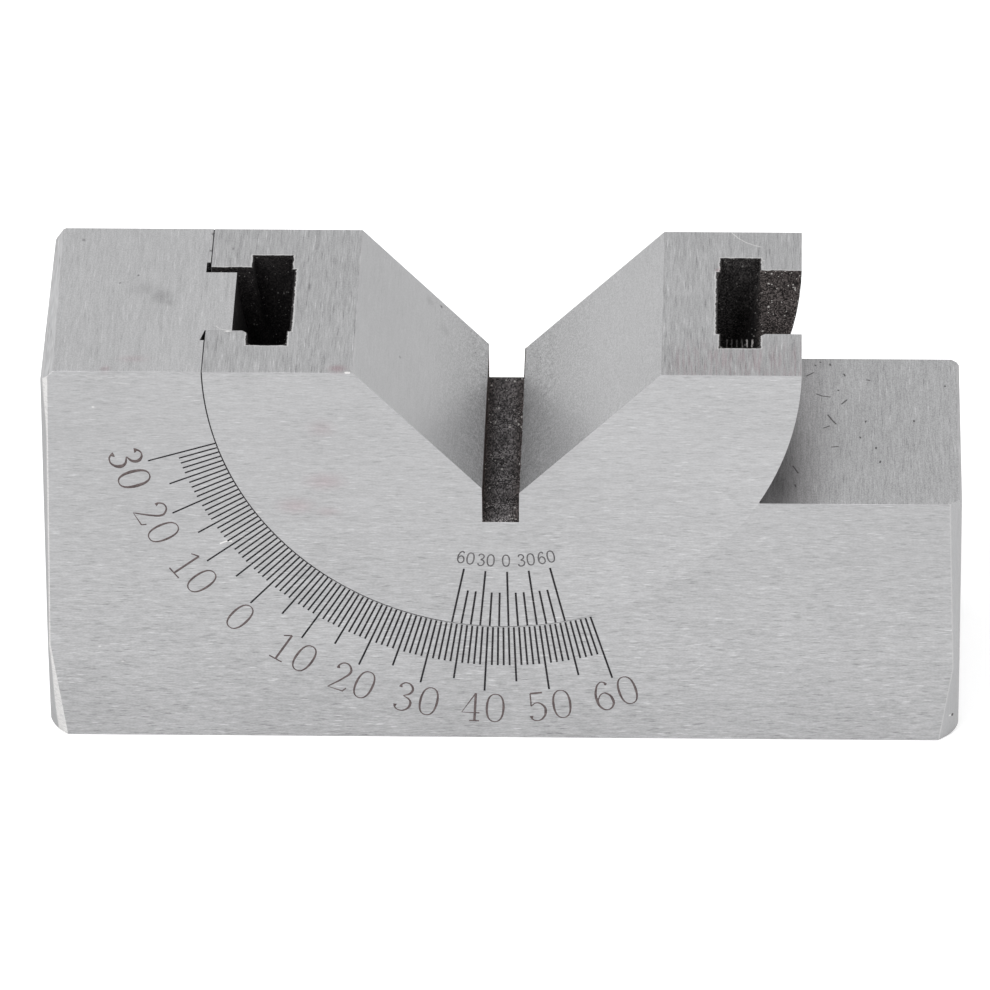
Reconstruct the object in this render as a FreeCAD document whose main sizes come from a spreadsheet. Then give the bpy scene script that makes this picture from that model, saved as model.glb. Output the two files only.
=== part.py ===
"""Adjustable angle V-block: a steel base with a cylindrical seat, and a tilting V saddle.

The saddle is part of a disc. It swivels in the seat about an axis that runs front to back,
a rib along the seat keeps it from moving sideways, and a clamp shoe in its curved tee slot
is drawn down by one socket screw from below. Sizes are in millimetres, with +X to the right,
+Y to the back and +Z up, and the origin in the middle of the base's underside. The saddle is
drawn at its rest reading.
"""

import FreeCAD
import Part
import Sketcher

import os
import re

PARTS_FOLDER = "parts"
SHEET = "Sizes"

# How far cutting sketches run past the metal that they cut.
OVERRUN = 2.0
# How close a point must lie to the place where it is looked for.
FIND_TOLERANCE = 0.01

# Base block
BLOCK_LENGTH = 100.0
BLOCK_THICKNESS = 32.0
BLOCK_HEIGHT = 46.0
LEDGE_HEIGHT = 30.0
CENTRE_RISE = 0.65
SEAT_RADIUS = 32.55
RIB_WIDTH = 12.95
RIB_HEIGHT = 3.0
RIB_OFFSET = 0.325
UNDERCUT_WIDTH = 2.2
UNDERCUT_DEPTH = 0.4

# Edges of the base, ground by hand and so uneven
TOP_BEVEL_FRONT = 1.45
TOP_BEVEL_BACK = 0.8
LEFT_FRONT_BEVEL_TOP = 0.8
LEFT_FRONT_BEVEL_FOOT = 0.12
LEFT_FLARE = 1.95
LEFT_FLARE_HEIGHT = 13.5
LEFT_BACK_BEVEL = 1.1
RIGHT_FRONT_BEVEL_TOP = 1.35
RIGHT_FRONT_BEVEL_FOOT = 0.5
RIGHT_FLARE = 2.2
RIGHT_FLARE_HEIGHT = 14.0
RIGHT_BACK_BEVEL = 0.85
LEDGE_BEVEL = 0.25
FOOT_ROUND = 1.3

# V saddle
SWIVEL_CLEARANCE = 0.1
REST_READING = 44.0
V_ANGLE = 90.0
WEB_THICKNESS = 4.0
RELIEF_BELOW_V = 1.94
RELIEF_WIDTH = 4.0
RELIEF_OFFSET = 0.2

# Curved tee slot in the saddle
NECK_FRONT_GAP = 0.06
NECK_BACK_GAP = 1.0
WING_WIDTH = 19.9
WING_BEVEL = 0.45
WING_HEIGHT = 4.25
LIP_THICKNESS = 4.6
LIP_BEVEL = 0.55
CROWN_WIDTH = 13.6
CROWN_DEPTH = 0.35

# Clamp shoe
SHOE_CLEARANCE = 0.1
SHOE_SIDE_CLEARANCE = 0.2
SHOE_HEADROOM = 0.8
SHOE_RIB_GAP = 0.3
SHOE_SPAN = 28.0
SHOE_BEVEL = 0.4

# Clamp screw
THREAD_RADIUS = 3.0
THREAD_CLEARANCE = 0.05
SCREW_TIP_GAP = 0.55
SCREW_POINT = 0.7
SCREW_HOLE_CLEARANCE = 0.3
HEAD_RADIUS = 5.0
HEAD_HEIGHT = 6.0
HEAD_BEVEL = 0.5
HEAD_SINK = 0.5
SOCKET_WIDTH = 5.0
SOCKET_DEPTH = 3.0
COUNTERBORE_CLEARANCE = 0.5
COUNTERBORE_BEVEL = 0.4

doc = FreeCAD.newDocument("AngleVBlock")
sheet = doc.addObject("Spreadsheet::Sheet", SHEET)
aliases = []


def size(name, value, meaning):
    """Write one driving size into the sheet, with its name as alias."""
    aliases.append(name)
    row = len(aliases)
    sheet.set(f"A{row}", meaning)
    sheet.set(f"B{row}", str(value))
    sheet.setAlias(f"B{row}", name)


# The sheet, with the meaning of each size: first the base block
size("block_length", BLOCK_LENGTH, "base, left end to right end")
size("block_thickness", BLOCK_THICKNESS, "base and saddle, front to back")
size("block_height", BLOCK_HEIGHT, "underside to the top face")
size("ledge_height", LEDGE_HEIGHT, "underside to the right-hand ledge")
size("centre_rise", CENTRE_RISE, "swivel axis above the top face")
size("seat_radius", SEAT_RADIUS, "cylindrical seat")
size("rib_width", RIB_WIDTH, "rib along the seat, front to back")
size("rib_height", RIB_HEIGHT, "rib above the seat")
size("rib_offset", RIB_OFFSET, "rib in front of the middle")
size("undercut_width", UNDERCUT_WIDTH, "relief groove at each foot of the rib")
size("undercut_depth", UNDERCUT_DEPTH, "relief groove below the seat")

# Edges of the base, ground by hand and so uneven
size("top_bevel_front", TOP_BEVEL_FRONT, "left top edge, at the front")
size("top_bevel_back", TOP_BEVEL_BACK, "left top edge, at the back")
size("left_front_bevel_top", LEFT_FRONT_BEVEL_TOP, "upright edge, left front, at the top")
size("left_front_bevel_foot", LEFT_FRONT_BEVEL_FOOT, "upright edge, left front, at the foot")
size("left_flare", LEFT_FLARE, "upright edge, left front, where it widens to the underside")
size("left_flare_height", LEFT_FLARE_HEIGHT, "where that widening starts")
size("left_back_bevel", LEFT_BACK_BEVEL, "upright edge, left back")
size("right_front_bevel_top", RIGHT_FRONT_BEVEL_TOP, "upright edge, right front, at the ledge")
size("right_front_bevel_foot", RIGHT_FRONT_BEVEL_FOOT, "upright edge, right front, at the foot")
size("right_flare", RIGHT_FLARE, "upright edge, right front, where it widens to the underside")
size("right_flare_height", RIGHT_FLARE_HEIGHT, "where that widening starts")
size("right_back_bevel", RIGHT_BACK_BEVEL, "upright edge, right back")
size("ledge_bevel", LEDGE_BEVEL, "right end of the ledge")
size("foot_round", FOOT_ROUND, "lower edge of each end")

# V saddle
size("swivel_clearance", SWIVEL_CLEARANCE, "saddle inside the seat, radial")
size("rest_reading", REST_READING, "slope of the right V face as drawn, degrees")
size("v_angle", V_ANGLE, "between the V faces, degrees")
size("web_thickness", WEB_THICKNESS, "metal between the tee slot and the relief slot")
size("relief_below_v", RELIEF_BELOW_V, "relief slot below where the V faces would meet")
size("relief_width", RELIEF_WIDTH, "relief slot at the bottom of the V")
size("relief_offset", RELIEF_OFFSET, "relief slot to the left of the middle")

# Curved tee slot in the saddle
size("neck_front_gap", NECK_FRONT_GAP, "neck of the tee slot in front of the rib, where the rib bears")
size("neck_back_gap", NECK_BACK_GAP, "neck of the tee slot behind the rib")
size("wing_width", WING_WIDTH, "tee slot from wall to wall across its wings")
size("wing_bevel", WING_BEVEL, "corners of the front wing, as the cutter's worn corner leaves them")
size("wing_height", WING_HEIGHT, "wings, radial")
size("lip_thickness", LIP_THICKNESS, "saddle metal outside the wings, radial")
size("lip_bevel", LIP_BEVEL, "inner edge of the front lip")
size("crown_width", CROWN_WIDTH, "deeper middle of the tee slot")
size("crown_depth", CROWN_DEPTH, "how much deeper, radial")

# Clamp shoe
size("shoe_clearance", SHOE_CLEARANCE, "shoe above the lips, radial")
size("shoe_side_clearance", SHOE_SIDE_CLEARANCE, "shoe in the wings and the neck, each side")
size("shoe_headroom", SHOE_HEADROOM, "shoe below the roof of the wings, radial")
size("shoe_rib_gap", SHOE_RIB_GAP, "stem of the shoe above the rib, radial")
size("shoe_span", SHOE_SPAN, "shoe along the slot, degrees about the swivel axis")
size("shoe_bevel", SHOE_BEVEL, "outer edges of the shoe's wings")

# Clamp screw
size("thread_radius", THREAD_RADIUS, "outside of the thread")
size("thread_clearance", THREAD_CLEARANCE, "thread in the shoe, radial")
size("screw_tip_gap", SCREW_TIP_GAP, "tip below the roof of the crown")
size("screw_point", SCREW_POINT, "bevel at the tip")
size("screw_hole_clearance", SCREW_HOLE_CLEARANCE, "hole in the base round the screw, radial")
size("head_radius", HEAD_RADIUS, "cap head")
size("head_height", HEAD_HEIGHT, "cap head")
size("head_bevel", HEAD_BEVEL, "rim of the cap head")
size("head_sink", HEAD_SINK, "head above the underside of the base")
size("socket_width", SOCKET_WIDTH, "hexagon socket, across flats")
size("socket_depth", SOCKET_DEPTH, "hexagon socket")
size("counterbore_clearance", COUNTERBORE_CLEARANCE, "counterbore round the head, radial")
size("counterbore_bevel", COUNTERBORE_BEVEL, "mouth of the counterbore")

# Sizes that follow from those above
size("half_length", "=block_length / 2", "middle to either end")
size("half_thickness", "=block_thickness / 2", "middle to the front or back face")
size("axis_height", "=block_height + centre_rise", "underside to the swivel axis")
size("rib_front", "=-rib_width / 2 - rib_offset", "front face of the rib")
size("rib_back", "=rib_width / 2 - rib_offset", "back face of the rib")
size("rib_radius", "=seat_radius - rib_height", "top of the rib")
size("undercut_radius", "=seat_radius + undercut_depth", "floor of the relief grooves")
size("saddle_radius", "=seat_radius - swivel_clearance", "outside of the saddle")
size("left_slope", "=180 - v_angle - rest_reading", "slope of the left V face, degrees")
size("relief_left", "=-relief_offset - relief_width / 2", "left wall of the relief slot")
size("relief_right", "=-relief_offset + relief_width / 2", "right wall of the relief slot")
size("neck_front", "=rib_front - neck_front_gap", "front wall of the neck")
size("neck_back", "=rib_back + neck_back_gap", "back wall of the neck")
size("wing_half", "=wing_width / 2", "middle to the wall of the wings")
size("wing_outer", "=saddle_radius - lip_thickness", "outer radius of the wings")
size("wing_inner", "=wing_outer - wing_height", "inner radius of the wings")
size("crown_half", "=crown_width / 2", "middle to the wall of the crown")
size("crown_inner", "=wing_inner - crown_depth", "inner radius of the crown")
size("crown_roof", "=axis_height - crown_inner", "underside to the roof of the crown")
size("relief_floor", "=crown_roof + web_thickness", "underside to the relief slot")
size("apex_height", "=relief_floor + relief_below_v", "where the V faces would meet")
size("v_depth", "=block_height - apex_height", "top face down to that place")
size("shoe_outer", "=wing_outer - shoe_clearance", "outer radius of the shoe's wings")
size("shoe_inner", "=wing_inner + shoe_headroom", "inner radius of the shoe")
size("shoe_half", "=wing_half - shoe_side_clearance", "middle to the end of a shoe wing")
size("stem_front", "=neck_front + shoe_side_clearance", "front of the stem")
size("stem_back", "=neck_back - shoe_side_clearance", "back of the stem")
size("stem_outer", "=rib_radius - shoe_rib_gap", "outer radius of the stem")
size("shoe_bore", "=thread_radius + thread_clearance", "thread in the shoe")
size("clearance_bore", "=thread_radius + screw_hole_clearance", "screw hole in the base")
size("counterbore_radius", "=head_radius + counterbore_clearance", "counterbore")
size("mouth_radius", "=counterbore_radius + counterbore_bevel", "mouth of the counterbore")
size("tip_height", "=crown_roof - screw_tip_gap", "underside to the screw's tip")
size("counterbore_depth", "=head_sink + head_height", "underside to the seat of the head")
size("socket_ceiling", "=head_sink + socket_depth", "underside to the socket's floor")
doc.recompute()


def cell(expression):
    """Turn the sheet's names in an expression into references that any object can hold."""
    def refer(match):
        word = match.group(0)
        return f"{SHEET}.{word}" if word in aliases else word
    return re.sub(r"[a-z_]+", refer, expression)


def number(expression):
    """Work out an expression now."""
    return float(sheet.evalExpression(cell(expression)))


def point(across, up):
    """Work out a point of a sketch from two expressions."""
    return FreeCAD.Vector(number(across), number(up), 0)


def below_axis(radius):
    """Height at which a radius about the swivel axis reaches straight down."""
    return f"axis_height - {radius}"


def new_body(name):
    """Start a piece of the object, named as its file."""
    body = doc.addObject("PartDesign::Body", name)
    body.Label = name
    body.Placement = FreeCAD.Placement()
    return body


def new_sketch(body, name, role):
    """Start a sketch on the body's own origin plane that has this role."""
    plane = next(item for item in body.Origin.OriginFeatures if item.Role == role)
    sketch = body.newObject("Sketcher::SketchObject", name)
    sketch.AttachmentSupport = [(plane, "")]
    sketch.MapMode = "FlatFace"
    return sketch


def hold(sketch, constraint, expression):
    """Add a constraint whose value stays bound to an expression."""
    index = sketch.addConstraint(constraint)
    sketch.setExpression(f"Constraints[{index}]", cell(expression))


def pin(sketch, geometry, position, across, up):
    """Hold a point of a sketch at two expressions measured from the sketch's origin."""
    hold(sketch, Sketcher.Constraint(
        "DistanceX", -1, 1, geometry, position, number(across)), across)
    hold(sketch, Sketcher.Constraint(
        "DistanceY", -1, 1, geometry, position, number(up)), up)


def outline(body, name, role, corners):
    """Draw a closed outline of straight lines through corners given as expressions."""
    sketch = new_sketch(body, name, role)
    points = [point(across, up) for across, up in corners]
    for start, end in zip(points, points[1:] + points[:1]):
        sketch.addGeometry(Part.LineSegment(start, end), False)
    for index in range(len(points)):
        following = (index + 1) % len(points)
        sketch.addConstraint(Sketcher.Constraint("Coincident", index, 2, following, 1))
    for index, (across, up) in enumerate(corners):
        pin(sketch, index, 1, across, up)
    return sketch


def circle(body, name, role, across, up, radius):
    """Draw one circle from expressions."""
    sketch = new_sketch(body, name, role)
    normal = FreeCAD.Vector(0, 0, 1)
    sketch.addGeometry(Part.Circle(point(across, up), normal, number(radius)), False)
    pin(sketch, 0, 3, across, up)
    hold(sketch, Sketcher.Constraint("Radius", 0, number(radius)), radius)
    return sketch


def swivel_axis(sketch):
    """Draw the swivel axis into a side-view sketch, to turn its profile about."""
    ends = (("-half_thickness", "axis_height"), ("half_thickness", "axis_height"))
    index = sketch.addGeometry(Part.LineSegment(point(*ends[0]), point(*ends[1])), True)
    pin(sketch, index, 1, *ends[0])
    pin(sketch, index, 2, *ends[1])
    return (sketch, ["Axis0"])


def feature(body, kind, name, sketch, **settings):
    """Add a sketch-based feature and set its properties, as numbers or expressions."""
    made = body.newObject(f"PartDesign::{kind}", name)
    made.Profile = sketch
    for key, value in settings.items():
        if isinstance(value, str):
            made.setExpression(key, cell(value))
        else:
            setattr(made, key, value)
    return made


def straight_edges(shape, fits):
    """Name the straight edges whose ends both satisfy a test."""
    names = []
    for index, edge in enumerate(shape.Edges, start=1):
        if isinstance(edge.Curve, Part.Line) and all(fits(end.Point) for end in edge.Vertexes):
            names.append(f"Edge{index}")
    return names


def dress(body, kind, name, fits, key, expression):
    """Bevel or round the straight edges of the body's last feature that satisfy a test."""
    doc.recompute()
    last = body.Tip
    names = straight_edges(last.Shape, fits)
    if not names:
        raise RuntimeError(f"{name} found no edge")
    made = body.newObject(f"PartDesign::{kind}", name)
    made.Base = (last, names)
    made.setExpression(key, cell(expression))
    return made


def at(value, expression):
    """Tell whether a coordinate lies at an expression's value."""
    return abs(value - number(expression)) < FIND_TOLERANCE


# Base block: an L-shaped bar, with its seat, rib and relief grooves turned out of it together
base = new_body("base_block")
bar = outline(base, "BarOutline", "XZ_Plane", [
    ("-half_length", "0"),
    ("half_length", "0"),
    ("half_length", "ledge_height"),
    ("0", "ledge_height"),
    ("0", "block_height"),
    ("-half_length", "block_height"),
])
feature(base, "Pad", "Bar", bar, Midplane=True, Length="block_thickness")

seat = outline(base, "SeatProfile", "YZ_Plane", [
    (f"-half_thickness - {OVERRUN}", "axis_height"),
    (f"-half_thickness - {OVERRUN}", below_axis("seat_radius")),
    ("rib_front - undercut_width", below_axis("seat_radius")),
    ("rib_front - undercut_width", below_axis("undercut_radius")),
    ("rib_front", below_axis("seat_radius")),
    ("rib_front", below_axis("rib_radius")),
    ("rib_back", below_axis("rib_radius")),
    ("rib_back", below_axis("undercut_radius")),
    ("rib_back + undercut_width", below_axis("undercut_radius")),
    ("rib_back + undercut_width", below_axis("seat_radius")),
    (f"half_thickness + {OVERRUN}", below_axis("seat_radius")),
    (f"half_thickness + {OVERRUN}", "axis_height"),
])
feature(base, "Groove", "Seat", seat, ReferenceAxis=swivel_axis(seat), Angle=360)

# Screw hole, counterbored from below and with a bevelled mouth
screw_hole = circle(base, "ScrewHoleCircle", "XY_Plane", "0", "0", "clearance_bore")
feature(base, "Pocket", "ScrewHole", screw_hole, Reversed=True, Length="axis_height")
counterbore = outline(base, "CounterboreProfile", "XZ_Plane", [
    ("0", f"-{OVERRUN}"),
    (f"mouth_radius + {OVERRUN}", f"-{OVERRUN}"),
    ("counterbore_radius", "counterbore_bevel"),
    ("counterbore_radius", "counterbore_depth"),
    ("0", "counterbore_depth"),
])
feature(base, "Groove", "Counterbore", counterbore,
        ReferenceAxis=(counterbore, ["V_Axis"]), Angle=360)


def uneven_bevel(body, name, role, start, corner, inward, widths, run):
    """Bevel an edge with a triangle that starts on a moved plane and drifts as it runs."""
    across, up = corner
    right, high = inward
    first, last = widths
    sketch = outline(body, f"{name}Triangle", role, [
        (f"{across} - {right} * {OVERRUN}", f"{up} - {high} * {OVERRUN}"),
        (f"{across} + {right} * ({first} + {OVERRUN})", f"{up} - {high} * {OVERRUN}"),
        (f"{across} - {right} * {OVERRUN}", f"{up} + {high} * ({first} + {OVERRUN})"),
    ])
    sketch.setExpression("AttachmentOffset.Base.z", cell(start))
    along, length = run
    made = feature(body, "Pocket", name, sketch, UseCustomVector=True, Length=length)
    drift = f"({last} - {first}) / 2"
    shares = {"x": f"{right} * {drift}", "y": f"{high} * {drift}", "z": f"{high} * {drift}"}
    shares[along[-1]] = f"({along[:-1]}1) * {length}"
    for key, share in shares.items():
        made.setExpression(f"Direction.{key}", cell(share))
    return made


# The left top edge and both front edges widen along their length, and again at the foot
uneven_bevel(
    base, "TopBevel", "XZ_Plane", "half_thickness", ("-half_length", "block_height"),
    ("1", "(-1)"), ("top_bevel_front", "top_bevel_back"), ("+y", "block_thickness"))
uneven_bevel(
    base, "LeftUpright", "XY_Plane", "block_height", ("-half_length", "-half_thickness"),
    ("1", "1"), ("left_front_bevel_top", "left_front_bevel_foot"), ("-z", "block_height"))
uneven_bevel(
    base, "LeftFlare", "XY_Plane", "0", ("-half_length", "-half_thickness"),
    ("1", "1"), ("left_flare", "0"), ("+z", "left_flare_height"))
uneven_bevel(
    base, "RightUpright", "XY_Plane", "ledge_height", ("half_length", "-half_thickness"),
    ("(-1)", "1"), ("right_front_bevel_top", "right_front_bevel_foot"), ("-z", "ledge_height"))
uneven_bevel(
    base, "RightFlare", "XY_Plane", "0", ("half_length", "-half_thickness"),
    ("(-1)", "1"), ("right_flare", "0"), ("+z", "right_flare_height"))

# The other upright edges, the end of the ledge and the lower end edges
dress(base, "Chamfer", "LeftBackBevel",
      lambda end: at(end.x, "-half_length") and at(end.y, "half_thickness"),
      "Size", "left_back_bevel")
dress(base, "Chamfer", "RightBackBevel",
      lambda end: at(end.x, "half_length") and at(end.y, "half_thickness"),
      "Size", "right_back_bevel")
dress(base, "Chamfer", "LedgeBevel",
      lambda end: at(end.x, "half_length") and at(end.z, "ledge_height"),
      "Size", "ledge_bevel")
dress(base, "Fillet", "FootRounds",
      lambda end: at(abs(end.x), "half_length") and at(end.z, "0"),
      "Radius", "foot_round")

# V saddle: a disc as thick as the base, cut flat on top, with the V and its relief slot
saddle = new_body("v_saddle")
disc = circle(saddle, "DiscCircle", "XZ_Plane", "0", "axis_height", "saddle_radius")
feature(saddle, "Pad", "Disc", disc, Midplane=True, Length="block_thickness")
flat = outline(saddle, "FlatOutline", "XZ_Plane", [
    (f"-saddle_radius - {OVERRUN}", "block_height"),
    (f"saddle_radius + {OVERRUN}", "block_height"),
    (f"saddle_radius + {OVERRUN}", f"axis_height + saddle_radius + {OVERRUN}"),
    (f"-saddle_radius - {OVERRUN}", f"axis_height + saddle_radius + {OVERRUN}"),
])
feature(saddle, "Pocket", "Flat", flat, Midplane=True, Length=f"block_thickness + {OVERRUN}")
vee = outline(saddle, "VeeOutline", "XZ_Plane", [
    ("0", "apex_height"),
    (f"(v_depth + {OVERRUN}) / tan(rest_reading)", f"block_height + {OVERRUN}"),
    (f"-(v_depth + {OVERRUN}) / tan(left_slope)", f"block_height + {OVERRUN}"),
])
feature(saddle, "Pocket", "Vee", vee, Midplane=True, Length=f"block_thickness + {OVERRUN}")
relief = outline(saddle, "ReliefOutline", "XZ_Plane", [
    ("relief_left", "relief_floor"),
    ("relief_right", "relief_floor"),
    ("relief_right", "block_height"),
    ("relief_left", "block_height"),
])
feature(saddle, "Pocket", "Relief", relief, Midplane=True,
        Length=f"block_thickness + {OVERRUN}")

# The tee slot runs right round the saddle: neck, two wings, and a slightly deeper crown
tee = outline(saddle, "TeeProfile", "YZ_Plane", [
    ("neck_front", f"axis_height - saddle_radius - {OVERRUN}"),
    ("neck_front", f"{below_axis('wing_outer')} - lip_bevel"),
    ("neck_front - lip_bevel", below_axis("wing_outer")),
    ("-wing_half + wing_bevel", below_axis("wing_outer")),
    ("-wing_half", f"{below_axis('wing_outer')} + wing_bevel"),
    ("-wing_half", f"{below_axis('wing_inner')} - wing_bevel"),
    ("-wing_half + wing_bevel", below_axis("wing_inner")),
    ("-crown_half", below_axis("wing_inner")),
    ("-crown_half", below_axis("crown_inner")),
    ("crown_half", below_axis("crown_inner")),
    ("crown_half", below_axis("wing_inner")),
    ("wing_half", below_axis("wing_inner")),
    ("wing_half", below_axis("wing_outer")),
    ("neck_back", below_axis("wing_outer")),
    ("neck_back", f"axis_height - saddle_radius - {OVERRUN}"),
])
feature(saddle, "Groove", "TeeSlot", tee, ReferenceAxis=swivel_axis(tee), Angle=360)

# Clamp shoe: a short arc of the tee's section, threaded upright through its middle
shoe = new_body("clamp_shoe")
shoe_section = outline(shoe, "ShoeProfile", "YZ_Plane", [
    ("-shoe_half", below_axis("shoe_inner")),
    ("-shoe_half", f"{below_axis('shoe_outer')} + shoe_bevel"),
    ("-shoe_half + shoe_bevel", below_axis("shoe_outer")),
    ("stem_front", below_axis("shoe_outer")),
    ("stem_front", below_axis("stem_outer")),
    ("stem_back", below_axis("stem_outer")),
    ("stem_back", below_axis("shoe_outer")),
    ("shoe_half - shoe_bevel", below_axis("shoe_outer")),
    ("shoe_half", f"{below_axis('shoe_outer')} + shoe_bevel"),
    ("shoe_half", below_axis("shoe_inner")),
])
feature(shoe, "Revolution", "ShoeArc", shoe_section,
        ReferenceAxis=swivel_axis(shoe_section), Angle="shoe_span", Midplane=True)
shoe_hole = circle(shoe, "ShoeHoleCircle", "XY_Plane", "0", "0", "shoe_bore")
feature(shoe, "Pocket", "ShoeHole", shoe_hole, Reversed=True, Length="axis_height")

# Clamp screw: a cap head that seats upwards in the counterbore, with a hexagon socket
screw = new_body("clamp_screw")
screw_section = outline(screw, "ScrewProfile", "XZ_Plane", [
    ("0", "head_sink"),
    ("head_radius - head_bevel", "head_sink"),
    ("head_radius", "head_sink + head_bevel"),
    ("head_radius", "counterbore_depth"),
    ("thread_radius", "counterbore_depth"),
    ("thread_radius", "tip_height - screw_point"),
    ("thread_radius - screw_point", "tip_height"),
    ("0", "tip_height"),
])
feature(screw, "Revolution", "ScrewBlank", screw_section,
        ReferenceAxis=(screw_section, ["V_Axis"]), Angle=360)
hexagon = outline(screw, "SocketOutline", "XY_Plane", [
    ("socket_width / 2", "-socket_width / (2 * sqrt(3))"),
    ("socket_width / 2", "socket_width / (2 * sqrt(3))"),
    ("0", "socket_width / sqrt(3)"),
    ("-socket_width / 2", "socket_width / (2 * sqrt(3))"),
    ("-socket_width / 2", "-socket_width / (2 * sqrt(3))"),
    ("0", "-socket_width / sqrt(3)"),
])
feature(screw, "Pocket", "Socket", hexagon, Reversed=True, Length="socket_ceiling")

doc.recompute()

# Every cut must have removed metal, and every object must have been worked out
pieces = (base, saddle, shoe, screw)
for item in doc.Objects:
    if "Invalid" in item.State or "Error" in item.State:
        raise RuntimeError(f"{item.Name} failed: {item.State}")
for piece in pieces:
    solids = [item for item in piece.Group if item.isDerivedFrom("PartDesign::Feature")]
    for earlier, later in zip(solids, solids[1:]):
        if later.Shape.Volume >= earlier.Shape.Volume:
            raise RuntimeError(f"{later.Name} removed nothing from {piece.Label}")
    if piece.Shape.isNull() or not piece.Shape.isValid():
        raise RuntimeError(f"{piece.Label} has no valid shape")

os.makedirs(PARTS_FOLDER, exist_ok=True)
for piece in pieces:
    piece.Shape.exportStep(os.path.join(PARTS_FOLDER, f"{piece.Label}.step"))
    box = piece.Shape.BoundBox
    print(f"{piece.Label}: {piece.Shape.Volume:.1f} mm3, x {box.XMin:.2f} to {box.XMax:.2f}, "
          f"y {box.YMin:.2f} to {box.YMax:.2f}, z {box.ZMin:.2f} to {box.ZMax:.2f}")
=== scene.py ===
"""Looks of the adjustable angle V-block: ground steel, black slots, engraved scale and vernier."""
from __future__ import annotations

import logging
import math
from abc import ABC, abstractmethod
from dataclasses import dataclass
from enum import Enum
from functools import partial, reduce
from typing import Optional, Sequence, Union

import bmesh
import bpy
from mathutils import Matrix, Vector


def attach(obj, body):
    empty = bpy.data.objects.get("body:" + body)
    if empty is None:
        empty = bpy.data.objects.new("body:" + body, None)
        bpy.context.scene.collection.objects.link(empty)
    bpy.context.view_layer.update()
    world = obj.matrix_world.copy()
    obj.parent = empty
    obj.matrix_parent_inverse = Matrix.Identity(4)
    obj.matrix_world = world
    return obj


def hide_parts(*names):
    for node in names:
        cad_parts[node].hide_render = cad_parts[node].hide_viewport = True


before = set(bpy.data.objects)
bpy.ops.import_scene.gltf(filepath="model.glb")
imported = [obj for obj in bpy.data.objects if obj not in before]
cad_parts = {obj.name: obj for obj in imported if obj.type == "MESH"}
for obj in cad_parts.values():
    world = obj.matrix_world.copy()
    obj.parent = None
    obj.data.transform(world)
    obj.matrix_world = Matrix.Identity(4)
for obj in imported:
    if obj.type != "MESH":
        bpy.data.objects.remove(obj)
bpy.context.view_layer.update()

LOG = logging.getLogger("v_block")

Colour = tuple[float, float, float]
Point = tuple[float, float, float]
Span = tuple[float, float]
Feed = Union["Value", float, Sequence[float]]
Inputs = dict[Union[int, str], Feed]
Mark = Union["Scratch", "Patch"]

# a millimetre in metres
MM = 0.001
# places and radii of the CAD model, and the borders of the gap in front of its rib, in millimetres
SWIVEL_HEIGHT = 46.65
FRONT = -16.0
TOP = 46.0
LEDGE = 30.0
SEAT_RADIUS = 32.55
DISC_RADIUS = 32.45
RIB_GAP = (-6.93, -6.74)

# socket types of the node groups
FLOAT, VECTOR, COLOUR = "NodeSocketFloat", "NodeSocketVector", "NodeSocketColor"

# how much of a normal points one way where a face begins and where it fully counts as looking that way
LEVEL_FACE = (0.9, 0.98)
FRONT_FACE = (0.8, 0.95)
END_FACE = 0.9

# single cuts of the grinding wheel, in millimetres
ROW_PITCH = 0.095
DASH_ALONG_Y, DASH_ALONG_X = 2.6, 1.25
GRIT_LENGTH, GRIT_WIDTH = 0.27, 0.13

# heights between which the front faces' grain grows stronger, from the top down, in millimetres
GRAIN_HEIGHTS = (40.0, -4.0)
# distance between the cutter's bright ticks in the right mouth of the tee slot, in millimetres
TICK_PITCH = 0.56
WHITE = (1.0, 1.0, 1.0)


class Body(Enum):
    """The CAD bodies that pieces ride on."""

    BASE = "base"
    SADDLE = "saddle"


class Slot(Enum):
    """The record's material slots."""

    GROUND = "ground_steel"
    CLAMP = "clamp_steel"


class Lettering(Enum):
    """How an engraved numeral is cut."""

    SERIF = "serif"
    PLAIN = "plain"


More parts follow.
